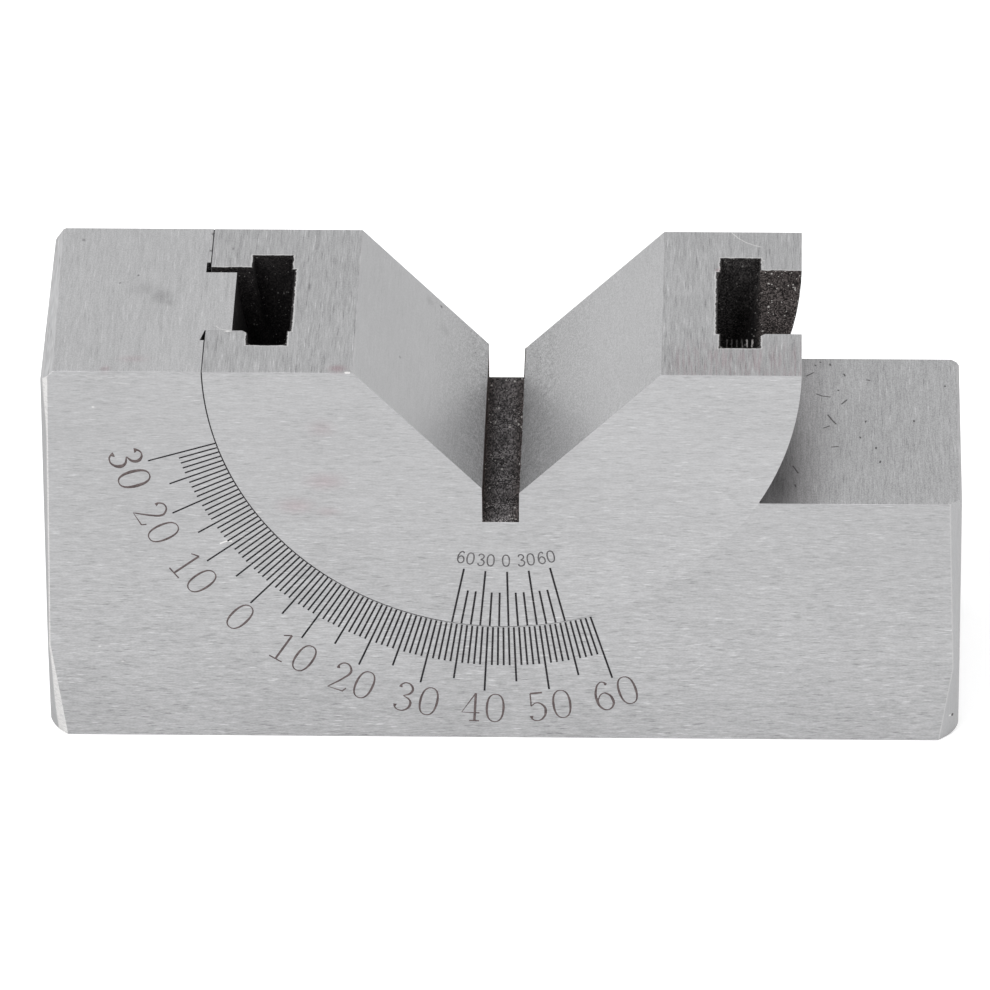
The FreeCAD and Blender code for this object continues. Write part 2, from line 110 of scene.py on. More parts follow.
class Value:
    """An output socket that takes part in arithmetic: every operation adds a node to its graph."""

    def __init__(self, graph: Graph, socket: bpy.types.NodeSocket) -> None:
        """Takes the socket and the graph that it lies in."""
        self.graph = graph
        self.socket = socket

    def __add__(self, other: Feed) -> Value:
        """Adds another number."""
        return self.graph.math("ADD", self, other)

    def __sub__(self, other: Feed) -> Value:
        """Takes another number off."""
        return self.graph.math("SUBTRACT", self, other)

    def __rsub__(self, other: Feed) -> Value:
        """Is taken off another number."""
        return self.graph.math("SUBTRACT", other, self)

    def __mul__(self, other: Feed) -> Value:
        """Is multiplied by another number."""
        return self.graph.math("MULTIPLY", self, other)

    def __truediv__(self, other: Feed) -> Value:
        """Is divided by another number."""
        return self.graph.math("DIVIDE", self, other)

    def __abs__(self) -> Value:
        """Drops the number's sign."""
        return self.graph.math("ABSOLUTE", self)

    def parts(self) -> tuple[Value, ...]:
        """Splits the vector into its x, y and z."""
        made = self.graph.node("ShaderNodeSeparateXYZ", {0: self})
        return tuple(Value(self.graph, socket) for socket in made.outputs)

    def rise(self, low: Feed, high: Feed, bottom: Feed = 0.0, top: Feed = 1.0) -> Value:
        """Maps the number smoothly from low and high to bottom and top; it falls where high is below low."""
        inputs = dict(enumerate((self, low, high, bottom, top)))
        return self.graph.wired("ShaderNodeMapRange", 0, inputs, interpolation_type="SMOOTHSTEP")

    def between(self, low: float, high: float, soft: float) -> Value:
        """Gives 1 where the number lies from low to high and 0 elsewhere, with edges of a soft width."""
        return self.rise(low - soft, low + soft) * self.rise(high + soft, high - soft)

    def blend(self, first: Feed, second: Feed) -> Value:
        """Mixes two numbers by this share: 0 gives the first, 1 the second."""
        return self.graph.wired("ShaderNodeMix", 0, {0: self, 2: first, 3: second}, data_type="FLOAT")

    def mix(self, first: Feed, second: Feed) -> Value:
        """Mixes two colours by this share: 0 gives the first, 1 the second."""
        return self.graph.wired("ShaderNodeMix", 2, {0: self, 6: first, 7: second}, data_type="RGBA")


class Graph:
    """Adds nodes to one node tree and joins them."""

    def __init__(self, tree: bpy.types.NodeTree) -> None:
        """Takes the tree of a material, a world or a node group, and empties it."""
        self.tree = tree
        tree.nodes.clear()

    def node(self, kind: str, inputs: Optional[Inputs] = None, **settings: object) -> bpy.types.Node:
        """Adds a node and feeds it.

        Args:
            kind: Blender's type name of the node.
            inputs: What goes into its inputs, by number or name.
            settings: Properties to set on it.

        Returns:
            The new node.
        """
        made = self.tree.nodes.new(kind)
        for name, setting in settings.items():
            setattr(made, name, setting)
        for name, value in (inputs or {}).items():
            socket = made.inputs[name]
            if isinstance(value, Value):
                self.tree.links.new(value.socket, socket)
            elif socket.type == "RGBA":
                socket.default_value = (*value, 1.0)
            else:
                socket.default_value = value
        return made

    def wired(self, kind: str, output: Union[int, str], inputs: Inputs, **settings: object) -> Value:
        """Adds a node and gives one of its outputs.

        Args:
            kind: Blender's type name of the node.
            output: The output's number or name.
            inputs: What goes into its inputs, by number or name.
            settings: Properties to set on it.

        Returns:
            The output.
        """
        return Value(self, self.node(kind, inputs, **settings).outputs[output])

    def named(self, kind: str, inputs: Optional[Inputs] = None, **settings: object) -> dict[str, Value]:
        """Adds a node and gives all its outputs by name.

        Args:
            kind: Blender's type name of the node.
            inputs: What goes into its inputs, by number or name.
            settings: Properties to set on it.

        Returns:
            The outputs.
        """
        return {socket.name: Value(self, socket) for socket in self.node(kind, inputs, **settings).outputs}

    def group(self, tree: bpy.types.NodeTree, **inputs: Feed) -> dict[str, Value]:
        """Places a node group, fed by the names of its inputs, and gives its outputs by name."""
        return self.named("ShaderNodeGroup", inputs, node_tree=tree)

    def math(self, operation: str, *numbers: Feed, clamp: bool = False) -> Value:
        """Adds a Math node, whose result may be kept from 0 to 1."""
        return self.wired("ShaderNodeMath", 0, dict(enumerate(numbers)), operation=operation, use_clamp=clamp)

    def total(self, *numbers: Feed) -> Value:
        """Adds several numbers."""
        return reduce(partial(self.math, "ADD"), numbers)

    def largest(self, *masks: Feed) -> Value:
        """Takes the largest of several masks."""
        return reduce(partial(self.math, "MAXIMUM"), masks)

    def distance(self, first: Value, second: Value) -> Value:
        """Gives the length of two legs at right angles."""
        return self.math("SQRT", first * first + second * second)

    def vector(self, operation: str, *vectors: Feed) -> Value:
        """Adds a Vector Math node that gives a vector."""
        return self.wired("ShaderNodeVectorMath", "Vector", dict(enumerate(vectors)), operation=operation)

    def measure(self, operation: str, *vectors: Feed) -> Value:
        """Adds a Vector Math node that gives a number."""
        return self.wired("ShaderNodeVectorMath", "Value", dict(enumerate(vectors)), operation=operation)

    def combine(self, x: Feed, y: Feed, z: Feed) -> Value:
        """Makes a vector of three numbers."""
        return self.wired("ShaderNodeCombineXYZ", 0, {0: x, 1: y, 2: z})

    def shade(self, colour: Feed, by: Feed) -> Value:
        """Multiplies a colour or a vector by a number."""
        return self.vector("MULTIPLY", colour, self.combine(by, by, by))

    def noise(
        self,
        place: Feed,
        scale: float = 1.0,
        detail: float = 2.0,
        roughness: float = 0.5,
        output: str = "Fac",
    ) -> Value:
        """Adds a Noise Texture, from its blobs per unit, its octaves and the share of each further one."""
        inputs = {"Vector": place, "Scale": scale, "Detail": detail, "Roughness": roughness}
        return self.wired("ShaderNodeTexNoise", output, inputs)

    def hashed(self, place: Feed) -> Value:
        """Gives a random number from 0 to 1 for each place."""
        return self.wired("ShaderNodeTexWhiteNoise", "Value", {"Vector": place})


class GroupGraph(Graph):
    """Builds one shader node group."""

    def __init__(self, name: str, inputs: dict[str, str], outputs: dict[str, str]) -> None:
        """Starts the group.

        Args:
            name: The group's name.
            inputs: Socket types by input name.
            outputs: Socket types by output name.
        """
        super().__init__(bpy.data.node_groups.new(name, "ShaderNodeTree"))
        for way, sockets in (("INPUT", inputs), ("OUTPUT", outputs)):
            for title, kind in sockets.items():
                self.tree.interface.new_socket(title, in_out=way, socket_type=kind)
        self.given = self.named("NodeGroupInput")

    def give(self, **results: Value) -> bpy.types.NodeTree:
        """Joins the results to the group's outputs by name, and gives the finished group."""
        self.node("NodeGroupOutput", results)
        return self.tree


class Effects:
    """The shared surface effects, built once as node groups."""

    def __init__(self) -> None:
        """Builds the groups."""
        self.place = self.make_place()
        self.grinding = self.make_grinding()
        self.specks = self.make_specks()
        self.ragged = self.make_ragged()
        self.scale = self.make_scale()
        self.line = self.make_line()
        self.spot = self.make_spot()

    def make_place(self) -> bpy.types.NodeTree:
        """Place in millimetres, distance from the swivel axis and which way a face looks.

        Returns:
            The node group.
        """
        graph = GroupGraph("place_on_block", {}, {"Place": VECTOR, "Radius": FLOAT, "Facing": VECTOR})
        source = graph.named("ShaderNodeTexCoord")
        place = graph.vector("MULTIPLY", source["Object"], (1.0 / MM, 1.0 / MM, 1.0 / MM))
        x, _, z = place.parts()
        radius = graph.distance(x, z - SWIVEL_HEIGHT)
        return graph.give(Place=place, Radius=radius, Facing=graph.vector("ABSOLUTE", source["Normal"]))

    def make_grinding(self) -> bpy.types.NodeTree:
        """Fine straight marks of a grinding wheel: short along x, longer along y.

        Returns:
            The node group.
        """
        results = dict.fromkeys(("Fine", "Broad", "Bright", "Dark", "Height", "Grit"), FLOAT)
        graph = GroupGraph("grinding_marks", {"Place": VECTOR, "Along": FLOAT}, results)
        place, along = graph.given["Place"], graph.given["Along"]
        x, y, z = place.parts()
        wander = graph.noise(place, 0.25, 1.0) * 0.25
        lengthwise = along.blend(y, x)
        crosswise = along.blend(x, y + z)
        upwards = along.blend(z, z - y)

        def streaks(short: float, long: float, width: float, detail: float, shift: float) -> Value:
            """Noise drawn out along the marks.

            Args:
                short: Length of a mark along x in millimetres.
                long: Length of a mark along y in millimetres.
                width: Width of a mark in millimetres.
                detail: Octaves.
                shift: Offset that keeps the layers apart.

            Returns:
                The noise.
            """
            run = lengthwise / along.blend(long, short) + shift
            spread = graph.combine(run, crosswise / width + wander, upwards / width)
            return graph.noise(spread, 1.0, detail, 0.6)

        fine = streaks(1.15, 2.4, 0.12, 1.0, 3.1)
        medium = streaks(2.2, 5.0, 0.34, 1.0, 11.3)
        broad = streaks(7.0, 9.0, 0.9, 2.0, 17.7)
        clusters = graph.noise(place, 0.45, 1.0).rise(0.35, 0.62)
        # single cuts: each row is parted into dashes that fade out at their ends
        row = graph.math("FLOOR", crosswise / ROW_PITCH)
        offset = graph.hashed(graph.combine(row, 3.0, 0.0)) * 5.0
        run = lengthwise / along.blend(DASH_ALONG_Y, DASH_ALONG_X) + offset
        chance = graph.hashed(graph.combine(row, graph.math("FLOOR", run), 7.0))
        fade = abs(graph.math("FRACT", run) - 0.5).rise(0.5, 0.1)
        dash = chance.rise(0.0, 1.0, -0.85, 0.85) * fade
        cells = graph.combine(lengthwise / GRIT_LENGTH, crosswise / GRIT_WIDTH, upwards / GRIT_WIDTH)
        wide = medium.rise(0.25, 0.75, -0.7, 0.7) * along.blend(1.0, 0.28)
        return graph.give(
            Fine=fine.rise(0.25, 0.75, -0.4, 0.4) + dash,
            Broad=wide + broad.rise(0.3, 0.7, -0.45, 0.45),
            Bright=chance.rise(0.94, 0.99) * fade * clusters,
            Dark=chance.rise(0.06, 0.01) * fade,
            Height=fine + medium * 0.6,
            Grit=graph.noise(cells, 1.0, 0.0).rise(0.25, 0.75, -1.0, 1.0),
        )

    def make_specks(self) -> bpy.types.NodeTree:
        """Scattered small specks: one in some of the cells of a pitch, by their share.

        Returns:
            The node group.
        """
        graph = GroupGraph("specks", {"Place": VECTOR, "Pitch": FLOAT, "Share": FLOAT}, {"Mask": FLOAT})
        pitch = graph.given["Pitch"]
        scaled = graph.vector("DIVIDE", graph.given["Place"], graph.combine(pitch, pitch, pitch))
        cells = graph.named("ShaderNodeTexVoronoi", {"Vector": scaled, "Scale": 1.0})
        chance, _, _ = cells["Color"].parts()
        chosen = graph.math("LESS_THAN", chance, graph.given["Share"])
        return graph.give(Mask=chosen * cells["Distance"].rise(0.5, 0.3))

    def make_ragged(self) -> bpy.types.NodeTree:
        """Moves a place a little, so that a zone's edge comes out torn.

        Returns:
            The node group.
        """
        graph = GroupGraph("torn_edge", {"Place": VECTOR, "Reach": FLOAT}, {"Place": VECTOR})
        source = graph.given["Place"]
        wander = graph.vector("SUBTRACT", graph.noise(source, 1.3, 4.0, 0.65, "Color"), (0.5, 0.5, 0.5))
        return graph.give(Place=graph.vector("ADD", source, graph.shade(wander, graph.given["Reach"])))

    def make_scale(self) -> bpy.types.NodeTree:
        """Black furnace scale with fine pale specks, as in the cut slots.

        Returns:
            The node group.
        """
        inputs = {"Place": VECTOR, "Light": COLOUR, "Deep": COLOUR, "Specks": FLOAT}
        graph = GroupGraph("furnace_scale", inputs, {"Colour": COLOUR, "Height": FLOAT})
        place = graph.given["Place"]
        squashed = graph.vector("MULTIPLY", place, (1.0, 0.55, 1.0))
        grain = graph.noise(squashed, 5.5, 2.0, 0.7)
        salt = graph.hashed(graph.vector("FLOOR", graph.vector("MULTIPLY", squashed, (8.0, 8.0, 8.0))))
        mixed = grain.rise(0.34, 0.66, 0.0, 0.35) + salt.rise(0.3, 1.0, 0.0, 0.95)
        share = mixed * graph.noise(place, 0.6).rise(0.3, 0.7, 0.6, 1.0)
        fine, coarse = (
            graph.group(self.specks, Place=squashed, Pitch=pitch, Share=part)["Mask"]
            for pitch, part in ((0.18, 0.035), (0.32, 0.025))
        )
        dots = graph.largest(fine, coarse) * graph.given["Specks"]
        colour = dots.mix(share.mix(graph.given["Deep"], graph.given["Light"]), (0.62, 0.60, 0.58))
        return graph.give(Colour=colour, Height=grain + dots * 0.5)

    def make_line(self) -> bpy.types.NodeTree:
        """A thin straight mark between two points.

        Returns:
            The node group.
        """
        inputs = {"Place": VECTOR, "Start": VECTOR, "End": VECTOR, "Width": FLOAT}
        graph = GroupGraph("line_mark", inputs, {"Mask": FLOAT})
        run = graph.vector("SUBTRACT", graph.given["End"], graph.given["Start"])
        gone = graph.vector("SUBTRACT", graph.given["Place"], graph.given["Start"])
        along, whole = graph.measure("DOT_PRODUCT", gone, run), graph.measure("DOT_PRODUCT", run, run)
        nearest = graph.shade(run, graph.math("DIVIDE", along, whole, clamp=True))
        off = graph.measure("LENGTH", graph.vector("SUBTRACT", gone, nearest))
        return graph.give(Mask=(off / graph.given["Width"]).rise(0.62, 0.35))

    def make_spot(self) -> bpy.types.NodeTree:
        """A soft round or drawn-out patch.

        Returns:
            The node group.
        """
        inputs = dict.fromkeys(("Place", "Centre", "Reach"), VECTOR)
        graph = GroupGraph("soft_patch", inputs, {"Mask": FLOAT})
        gone = graph.vector("SUBTRACT", graph.given["Place"], graph.given["Centre"])
        off = graph.measure("LENGTH", graph.vector("DIVIDE", gone, graph.given["Reach"]))
        return graph.give(Mask=off.rise(1.0, 0.0))


class MaterialGraph(Graph):
    """Builds the material of one steel on the shared effects."""

    def __init__(self, name: str, effects: Effects) -> None:
        """Starts the material and reads where its surface lies.

        Args:
            name: The material's name.
            effects: The shared node groups.
        """
        self.material = bpy.data.materials.new(name)
        self.material.use_nodes = True
        super().__init__(self.material.node_tree)
        self.effects = effects
        where = self.group(effects.place)
        self.place, self.radius, self.facing = where["Place"], where["Radius"], where["Facing"]

    def torn(self, reach: float) -> Value:
        """Gives places moved by up to a reach in millimetres, for zones with torn edges."""
        return self.group(self.effects.ragged, Place=self.place, Reach=reach)["Place"]

    def specks(self, pitch: float, share: float) -> Value:
        """Gives a mask of specks, a pitch apart in millimetres and in a share of the cells."""
        return self.group(self.effects.specks, Place=self.place, Pitch=pitch, Share=share)["Mask"]

    def marks(self, marks: Sequence[Mark], place: Value) -> Value:
        """Adds several marks and gives one mask of them all."""
        return self.largest(*(mark.mask(self, place) for mark in marks))

    def finish(self, height: Value, relief: Span, **looks: Feed) -> bpy.types.Material:
        """Ends the material with its shader and its fine relief.

        Args:
            height: What the relief follows.
            relief: Its strength and its depth in metres.
            looks: The shader's inputs by name, with _ for a space.

        Returns:
            The material.
        """
        strength, depth = relief
        bump = self.wired("ShaderNodeBump", 0, {"Strength": strength, "Distance": depth, "Height": height})
        inputs = {name.replace("_", " "): value for name, value in looks.items()}
        shader = self.wired("ShaderNodeBsdfPrincipled", 0, {**inputs, "Normal": bump})
        self.node("ShaderNodeOutputMaterial", {"Surface": shader})
        return self.material


@dataclass(frozen=True)
class Scratch:
    """A thin scratch, hair or fleck: a run of points in millimetres."""

    points: tuple[Point, ...]
    width: float
    strength: float = 1.0

    def mask(self, graph: MaterialGraph, place: Value) -> Value:
        """Adds the scratch to a material.

        Args:
            graph: The material's graph.
            place: Place in millimetres.

        Returns:
            Its mask.
        """
        runs = (
            graph.group(graph.effects.line, Place=place, Start=start, End=end, Width=self.width)["Mask"]
            for start, end in zip(self.points, self.points[1:])
        )
        return graph.largest(*runs) * self.strength


@dataclass(frozen=True)
class Patch:
    """A soft smudge or stain: its middle and its reach each way, in millimetres."""

    centre: Point
    reach: Point
    strength: float = 1.0

    def mask(self, graph: MaterialGraph, place: Value) -> Value:
        """Adds the patch to a material, at places in millimetres, and gives its mask."""
        spot = graph.group(graph.effects.spot, Place=place, Centre=self.centre, Reach=self.reach)
        return spot["Mask"] * self.strength


@dataclass(frozen=True)
class Zones:
    """Masks and tones of one piece in its material."""

    scale: Value
    tone: Value
    grain: Value
    grit: Value
    stain: Value
    pale: Value
    rust: Value
    scale_light: Feed
    scale_deep: Feed = (0.005, 0.0045, 0.005)
    scale_specks: Feed = 0.08


@dataclass(frozen=True)
class GroundSteel:
    """Ground tool steel with black scale left in its cut slots."""

    name: str
    colour: Colour = (0.471, 0.471, 0.478)
    fine: float = 0.15
    broad: float = 0.085
    bright: float = 0.24
    dark: float = 0.17
    grit: float = 0.17
    roughness: float = 0.36
    scale_roughness: float = 0.72
    metallic: float = 0.8
    scale_metallic: float = 0.1
    gloss: float = 0.15
    relief: Span = (0.35, 0.00002)
    scale_relief: float = 6.0
    stain_colour: Colour = (0.07, 0.065, 0.068)
    pale_colour: Colour = (0.84, 0.83, 0.82)
    rust_colour: Colour = (0.40, 0.31, 0.33)

    def build(self, effects: Effects, block: DressedBlock) -> bpy.types.Material:
        """Makes the material of one block.

        Args:
            effects: The shared node groups.
            block: The block, which gives its own zones.

        Returns:
            The material.
        """
        graph = MaterialGraph(self.name, effects)
        endwise, depthwise, _ = graph.facing.parts()
        # on an end face the rows of marks are counted by height
        x, y, z = graph.place.parts()
        on_end = graph.math("GREATER_THAN", endwise, END_FACE)
        ground = graph.combine(on_end.blend(x, z), y, on_end.blend(z, x))
        marks = graph.group(effects.grinding, Place=ground, Along=depthwise.rise(0.6, 0.8))
        piece = block.zones(graph)

        amounts = {"Fine": self.fine, "Broad": self.broad, "Bright": self.bright, "Dark": -self.dark}
        grain = graph.total(*(marks[output] * amount for output, amount in amounts.items()))
        cloud = graph.noise(graph.place, 0.06).rise(0.3, 0.7, 0.98, 1.02)
        tone = (grain * piece.grain + marks["Grit"] * piece.grit * self.grit + cloud) * piece.tone
        steel = piece.rust.mix(graph.shade(self.colour, tone), graph.shade(self.rust_colour, tone))
        steel = piece.pale.mix(piece.stain.mix(steel, self.stain_colour), self.pale_colour)
        black = graph.group(
            effects.scale,
            Place=graph.place,
            Light=piece.scale_light,
            Deep=piece.scale_deep,
            Specks=piece.scale_specks,
        )
        return graph.finish(
            piece.scale.blend(marks["Height"], black["Height"] * self.scale_relief),
            self.relief,
            Base_Color=piece.scale.mix(steel, black["Colour"]),
            Metallic=piece.scale.blend(self.metallic, self.scale_metallic),
            Roughness=piece.scale.blend(marks["Fine"] * 0.04 + self.roughness, self.scale_roughness),
            Specular_IOR_Level=self.gloss,
        )


@dataclass(frozen=True)
class LaserMark:
    """The burnt, slightly matt line of an engraving."""

    name: str
    dark: Colour
    light: Colour
    roughness: float = 0.6
    metallic: float = 0.3
    gloss: float = 0.5
    relief: Span = (0.3, 0.00002)
    worn: float = 0.5
    worn_colour: Colour = (0.4, 0.38, 0.36)

    def build(self, effects: Effects) -> bpy.types.Material:
        """Makes the material.

        Args:
            effects: The shared node groups.

        Returns:
            The material.
        """
        graph = MaterialGraph(self.name, effects)
        uneven = graph.noise(graph.place, 2.2, 3.0, 0.6).rise(0.3, 0.7)
        worn = graph.group(effects.grinding, Place=graph.place, Along=1.0)["Bright"] * self.worn
        return graph.finish(
            uneven,
            self.relief,
            Base_Color=worn.mix(uneven.mix(self.dark, self.light), self.worn_colour),
            Metallic=self.metallic,
            Roughness=uneven * 0.15 + self.roughness,
            Specular_IOR_Level=self.gloss,
        )


@dataclass(frozen=True)
class OxidisedSteel:
    """Oiled black oxide on the clamp screw and the clamp shoe."""

    name: str
    dark: Colour = (0.018, 0.018, 0.02)
    light: Colour = (0.07, 0.068, 0.068)
    worn_colour: Colour = (0.3, 0.3, 0.3)
    roughness: float = 0.42
    metallic: float = 0.7
    relief: Span = (0.25, 0.00003)

    def build(self, effects: Effects) -> bpy.types.Material:
        """Makes the material.

        Args:
            effects: The shared node groups.

        Returns:
            The material.
        """
        graph = MaterialGraph(self.name, effects)
        cloud = graph.noise(graph.place, 0.6, 3.0, 0.6)
        marks = graph.group(effects.grinding, Place=graph.place, Along=0.0)
        worn = graph.largest(graph.specks(0.3, 0.03), marks["Bright"]) * 0.4
        return graph.finish(
            marks["Height"],
            self.relief,
            Base_Color=worn.mix(cloud.rise(0.3, 0.7).mix(self.dark, self.light), self.worn_colour),
            Metallic=self.metallic,
            Roughness=cloud.rise(0.2, 0.8, self.roughness - 0.08, self.roughness + 0.1),
        )


def make_object(name: str, work: bmesh.types.BMesh, material: bpy.types.Material) -> bpy.types.Object:
    """Makes an object at the origin from a shape that holds its own place, and frees the shape.

    Args:
        name: The piece's name.
        work: Its shape, in metres in the shared frame.
        material: Its finish.

    Returns:
        The object.
    """
    mesh = bpy.data.meshes.new(name)
    work.to_mesh(mesh)
    work.free()
    mesh.materials.append(material)
    piece = bpy.data.objects.new(name, mesh)
    bpy.context.scene.collection.objects.link(piece)
    return piece


def settle(piece: bpy.types.Object, body: Body) -> None:
    """Puts a finished steel piece on its body and reports it.

    Args:
        piece: The piece.
        body: The CAD body it rides on.
    """
    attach(piece, body.value)
    LOG.info("%s: %d faces, rides on %s", piece.name, len(piece.data.polygons), body.value)


def box(work: bmesh.types.BMesh, size: Vector, middle: Vector, turn: Matrix = Matrix.Identity(4)) -> None:
    """Adds a box to a shape.

    Args:
        work: The shape.
        size: The box's sides in metres.
        middle: Its middle in metres.
        turn: How it is turned.
    """
    sides = Matrix.Diagonal((*size, 1.0))
    bmesh.ops.create_cube(work, size=1.0, matrix=Matrix.Translation(middle) @ turn @ sides)


@dataclass
class DressedBlock(ABC):
    """A CAD solid's own shape, with its sharp edges broken by a fine stone."""

    node: str
    name: str
    body: Body
    edge_break: float = 0.042
    sharp_angle: float = 25.0
    curved_angle: float = 0.25
    torn_reach: float = 0.42
    plain_tone: float = 0.93
    level_grain: float = 1.08
    level_grit: float = 0.5
    front_grain: Span = (0.62, 1.16)
    front_grit: Span = (0.26, 0.42)

    @abstractmethod
    def zones(self, graph: MaterialGraph) -> Zones:
        """Gives the block's own masks."""

    def cuts(self, graph: MaterialGraph, level: Value, front: Value) -> tuple[Value, Value]:
        """Gives how strong grain and grit are; both grow down the front face.

        Args:
            graph: The material's graph.
            level: Mask of the level faces.
            front: Mask of the front and back faces.

        Returns:
            The strength of the grain and of the grit.
        """
        _, _, z = graph.place.parts()
        grain = front.blend(1.0, z.rise(*GRAIN_HEIGHTS, *self.front_grain))
        grit = front.blend(0.0, z.rise(*GRAIN_HEIGHTS, *self.front_grit))
        return level.blend(grain, self.level_grain), level.blend(grit, self.level_grit)

    def on_seat_arc(self, edge: bmesh.types.BMEdge) -> bool:
        """Whether an edge is part of the seat's arc on the front or back face, which stays crisp.

        Args:
            edge: The edge.

        Returns:
            True for an edge of the arc.
        """
        for vert in edge.verts:
            x, y, z = vert.co / MM
            radius = math.hypot(x, z - SWIVEL_HEIGHT)
            if abs(y) < abs(FRONT) - 0.01 or not DISC_RADIUS - 0.05 < radius < SEAT_RADIUS + 0.05:
                return False
        return True

    def on_v_outline(self, edge: bmesh.types.BMEdge) -> bool:
        """Whether an edge is one of the V's slanting edges in the front face, which catch no light.

        Args:
            edge: The edge.

        Returns:
            True for a slanting edge.
        """
        first, second = (vert.co / MM for vert in edge.verts)
        run = second - first
        slanting = min(abs(run.x), abs(run.z)) > 0.3 * run.length
        return slanting and max(first.y, second.y) < FRONT + 0.05 and abs(first.x) < 20.0

    def beside_rib(self, edge: bmesh.types.BMEdge) -> bool:
        """Whether an edge borders the hair-thin gap in front of the rib, which stays closed.

        Args:
            edge: The edge.

        Returns:
            True for an edge of that gap in the top face.
        """
        before, behind = RIB_GAP
        return all(
            abs(vert.co.z / MM - TOP) < 0.05 and before < vert.co.y / MM < behind for vert in edge.verts
        )

    def shape(self) -> bmesh.types.BMesh:
        """Copies the node's mesh, merges it and breaks its edges.

        Returns:
            The new shape.
        """
        work = bmesh.new()
        work.from_mesh(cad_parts[self.node].data)
        bmesh.ops.remove_doubles(work, verts=work.verts, dist=0.002 * MM)
        bmesh.ops.dissolve_limit(
            work,
            angle_limit=math.radians(0.2),
            use_dissolve_boundaries=False,
            verts=work.verts,
            edges=work.edges,
        )
        bmesh.ops.recalc_face_normals(work, faces=work.faces)
        limit, least = math.radians(self.sharp_angle), math.radians(self.curved_angle)
        sharp, curved = [], set()
        for edge in work.edges:
            angle = edge.calc_face_angle(0.0)
            if angle > limit:
                if not (self.on_seat_arc(edge) or self.beside_rib(edge) or self.on_v_outline(edge)):
                    sharp.append(edge)
            elif angle > least:
                curved.update(edge.link_faces)
        for face in work.faces:
            face.smooth = face in curved
        made = bmesh.ops.bevel(
            work,
            geom=sharp,
            offset=self.edge_break * MM,
            offset_type="OFFSET",
            segments=2,
            profile=0.5,
            affect="EDGES",
            clamp_overlap=False,
            material=-1,
        )
        for face in made["faces"]:
            face.smooth = True
        LOG.info("%s: %d sharp edges broken", self.name, len(sharp))
        return work

    def dress(self, material: bpy.types.Material) -> None:
        """Makes the piece that stands for the CAD node.

        Args:
            material: Its finish.
        """
        piece = make_object(self.name, self.shape(), material)
        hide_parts(self.node)
        settle(piece, self.body)


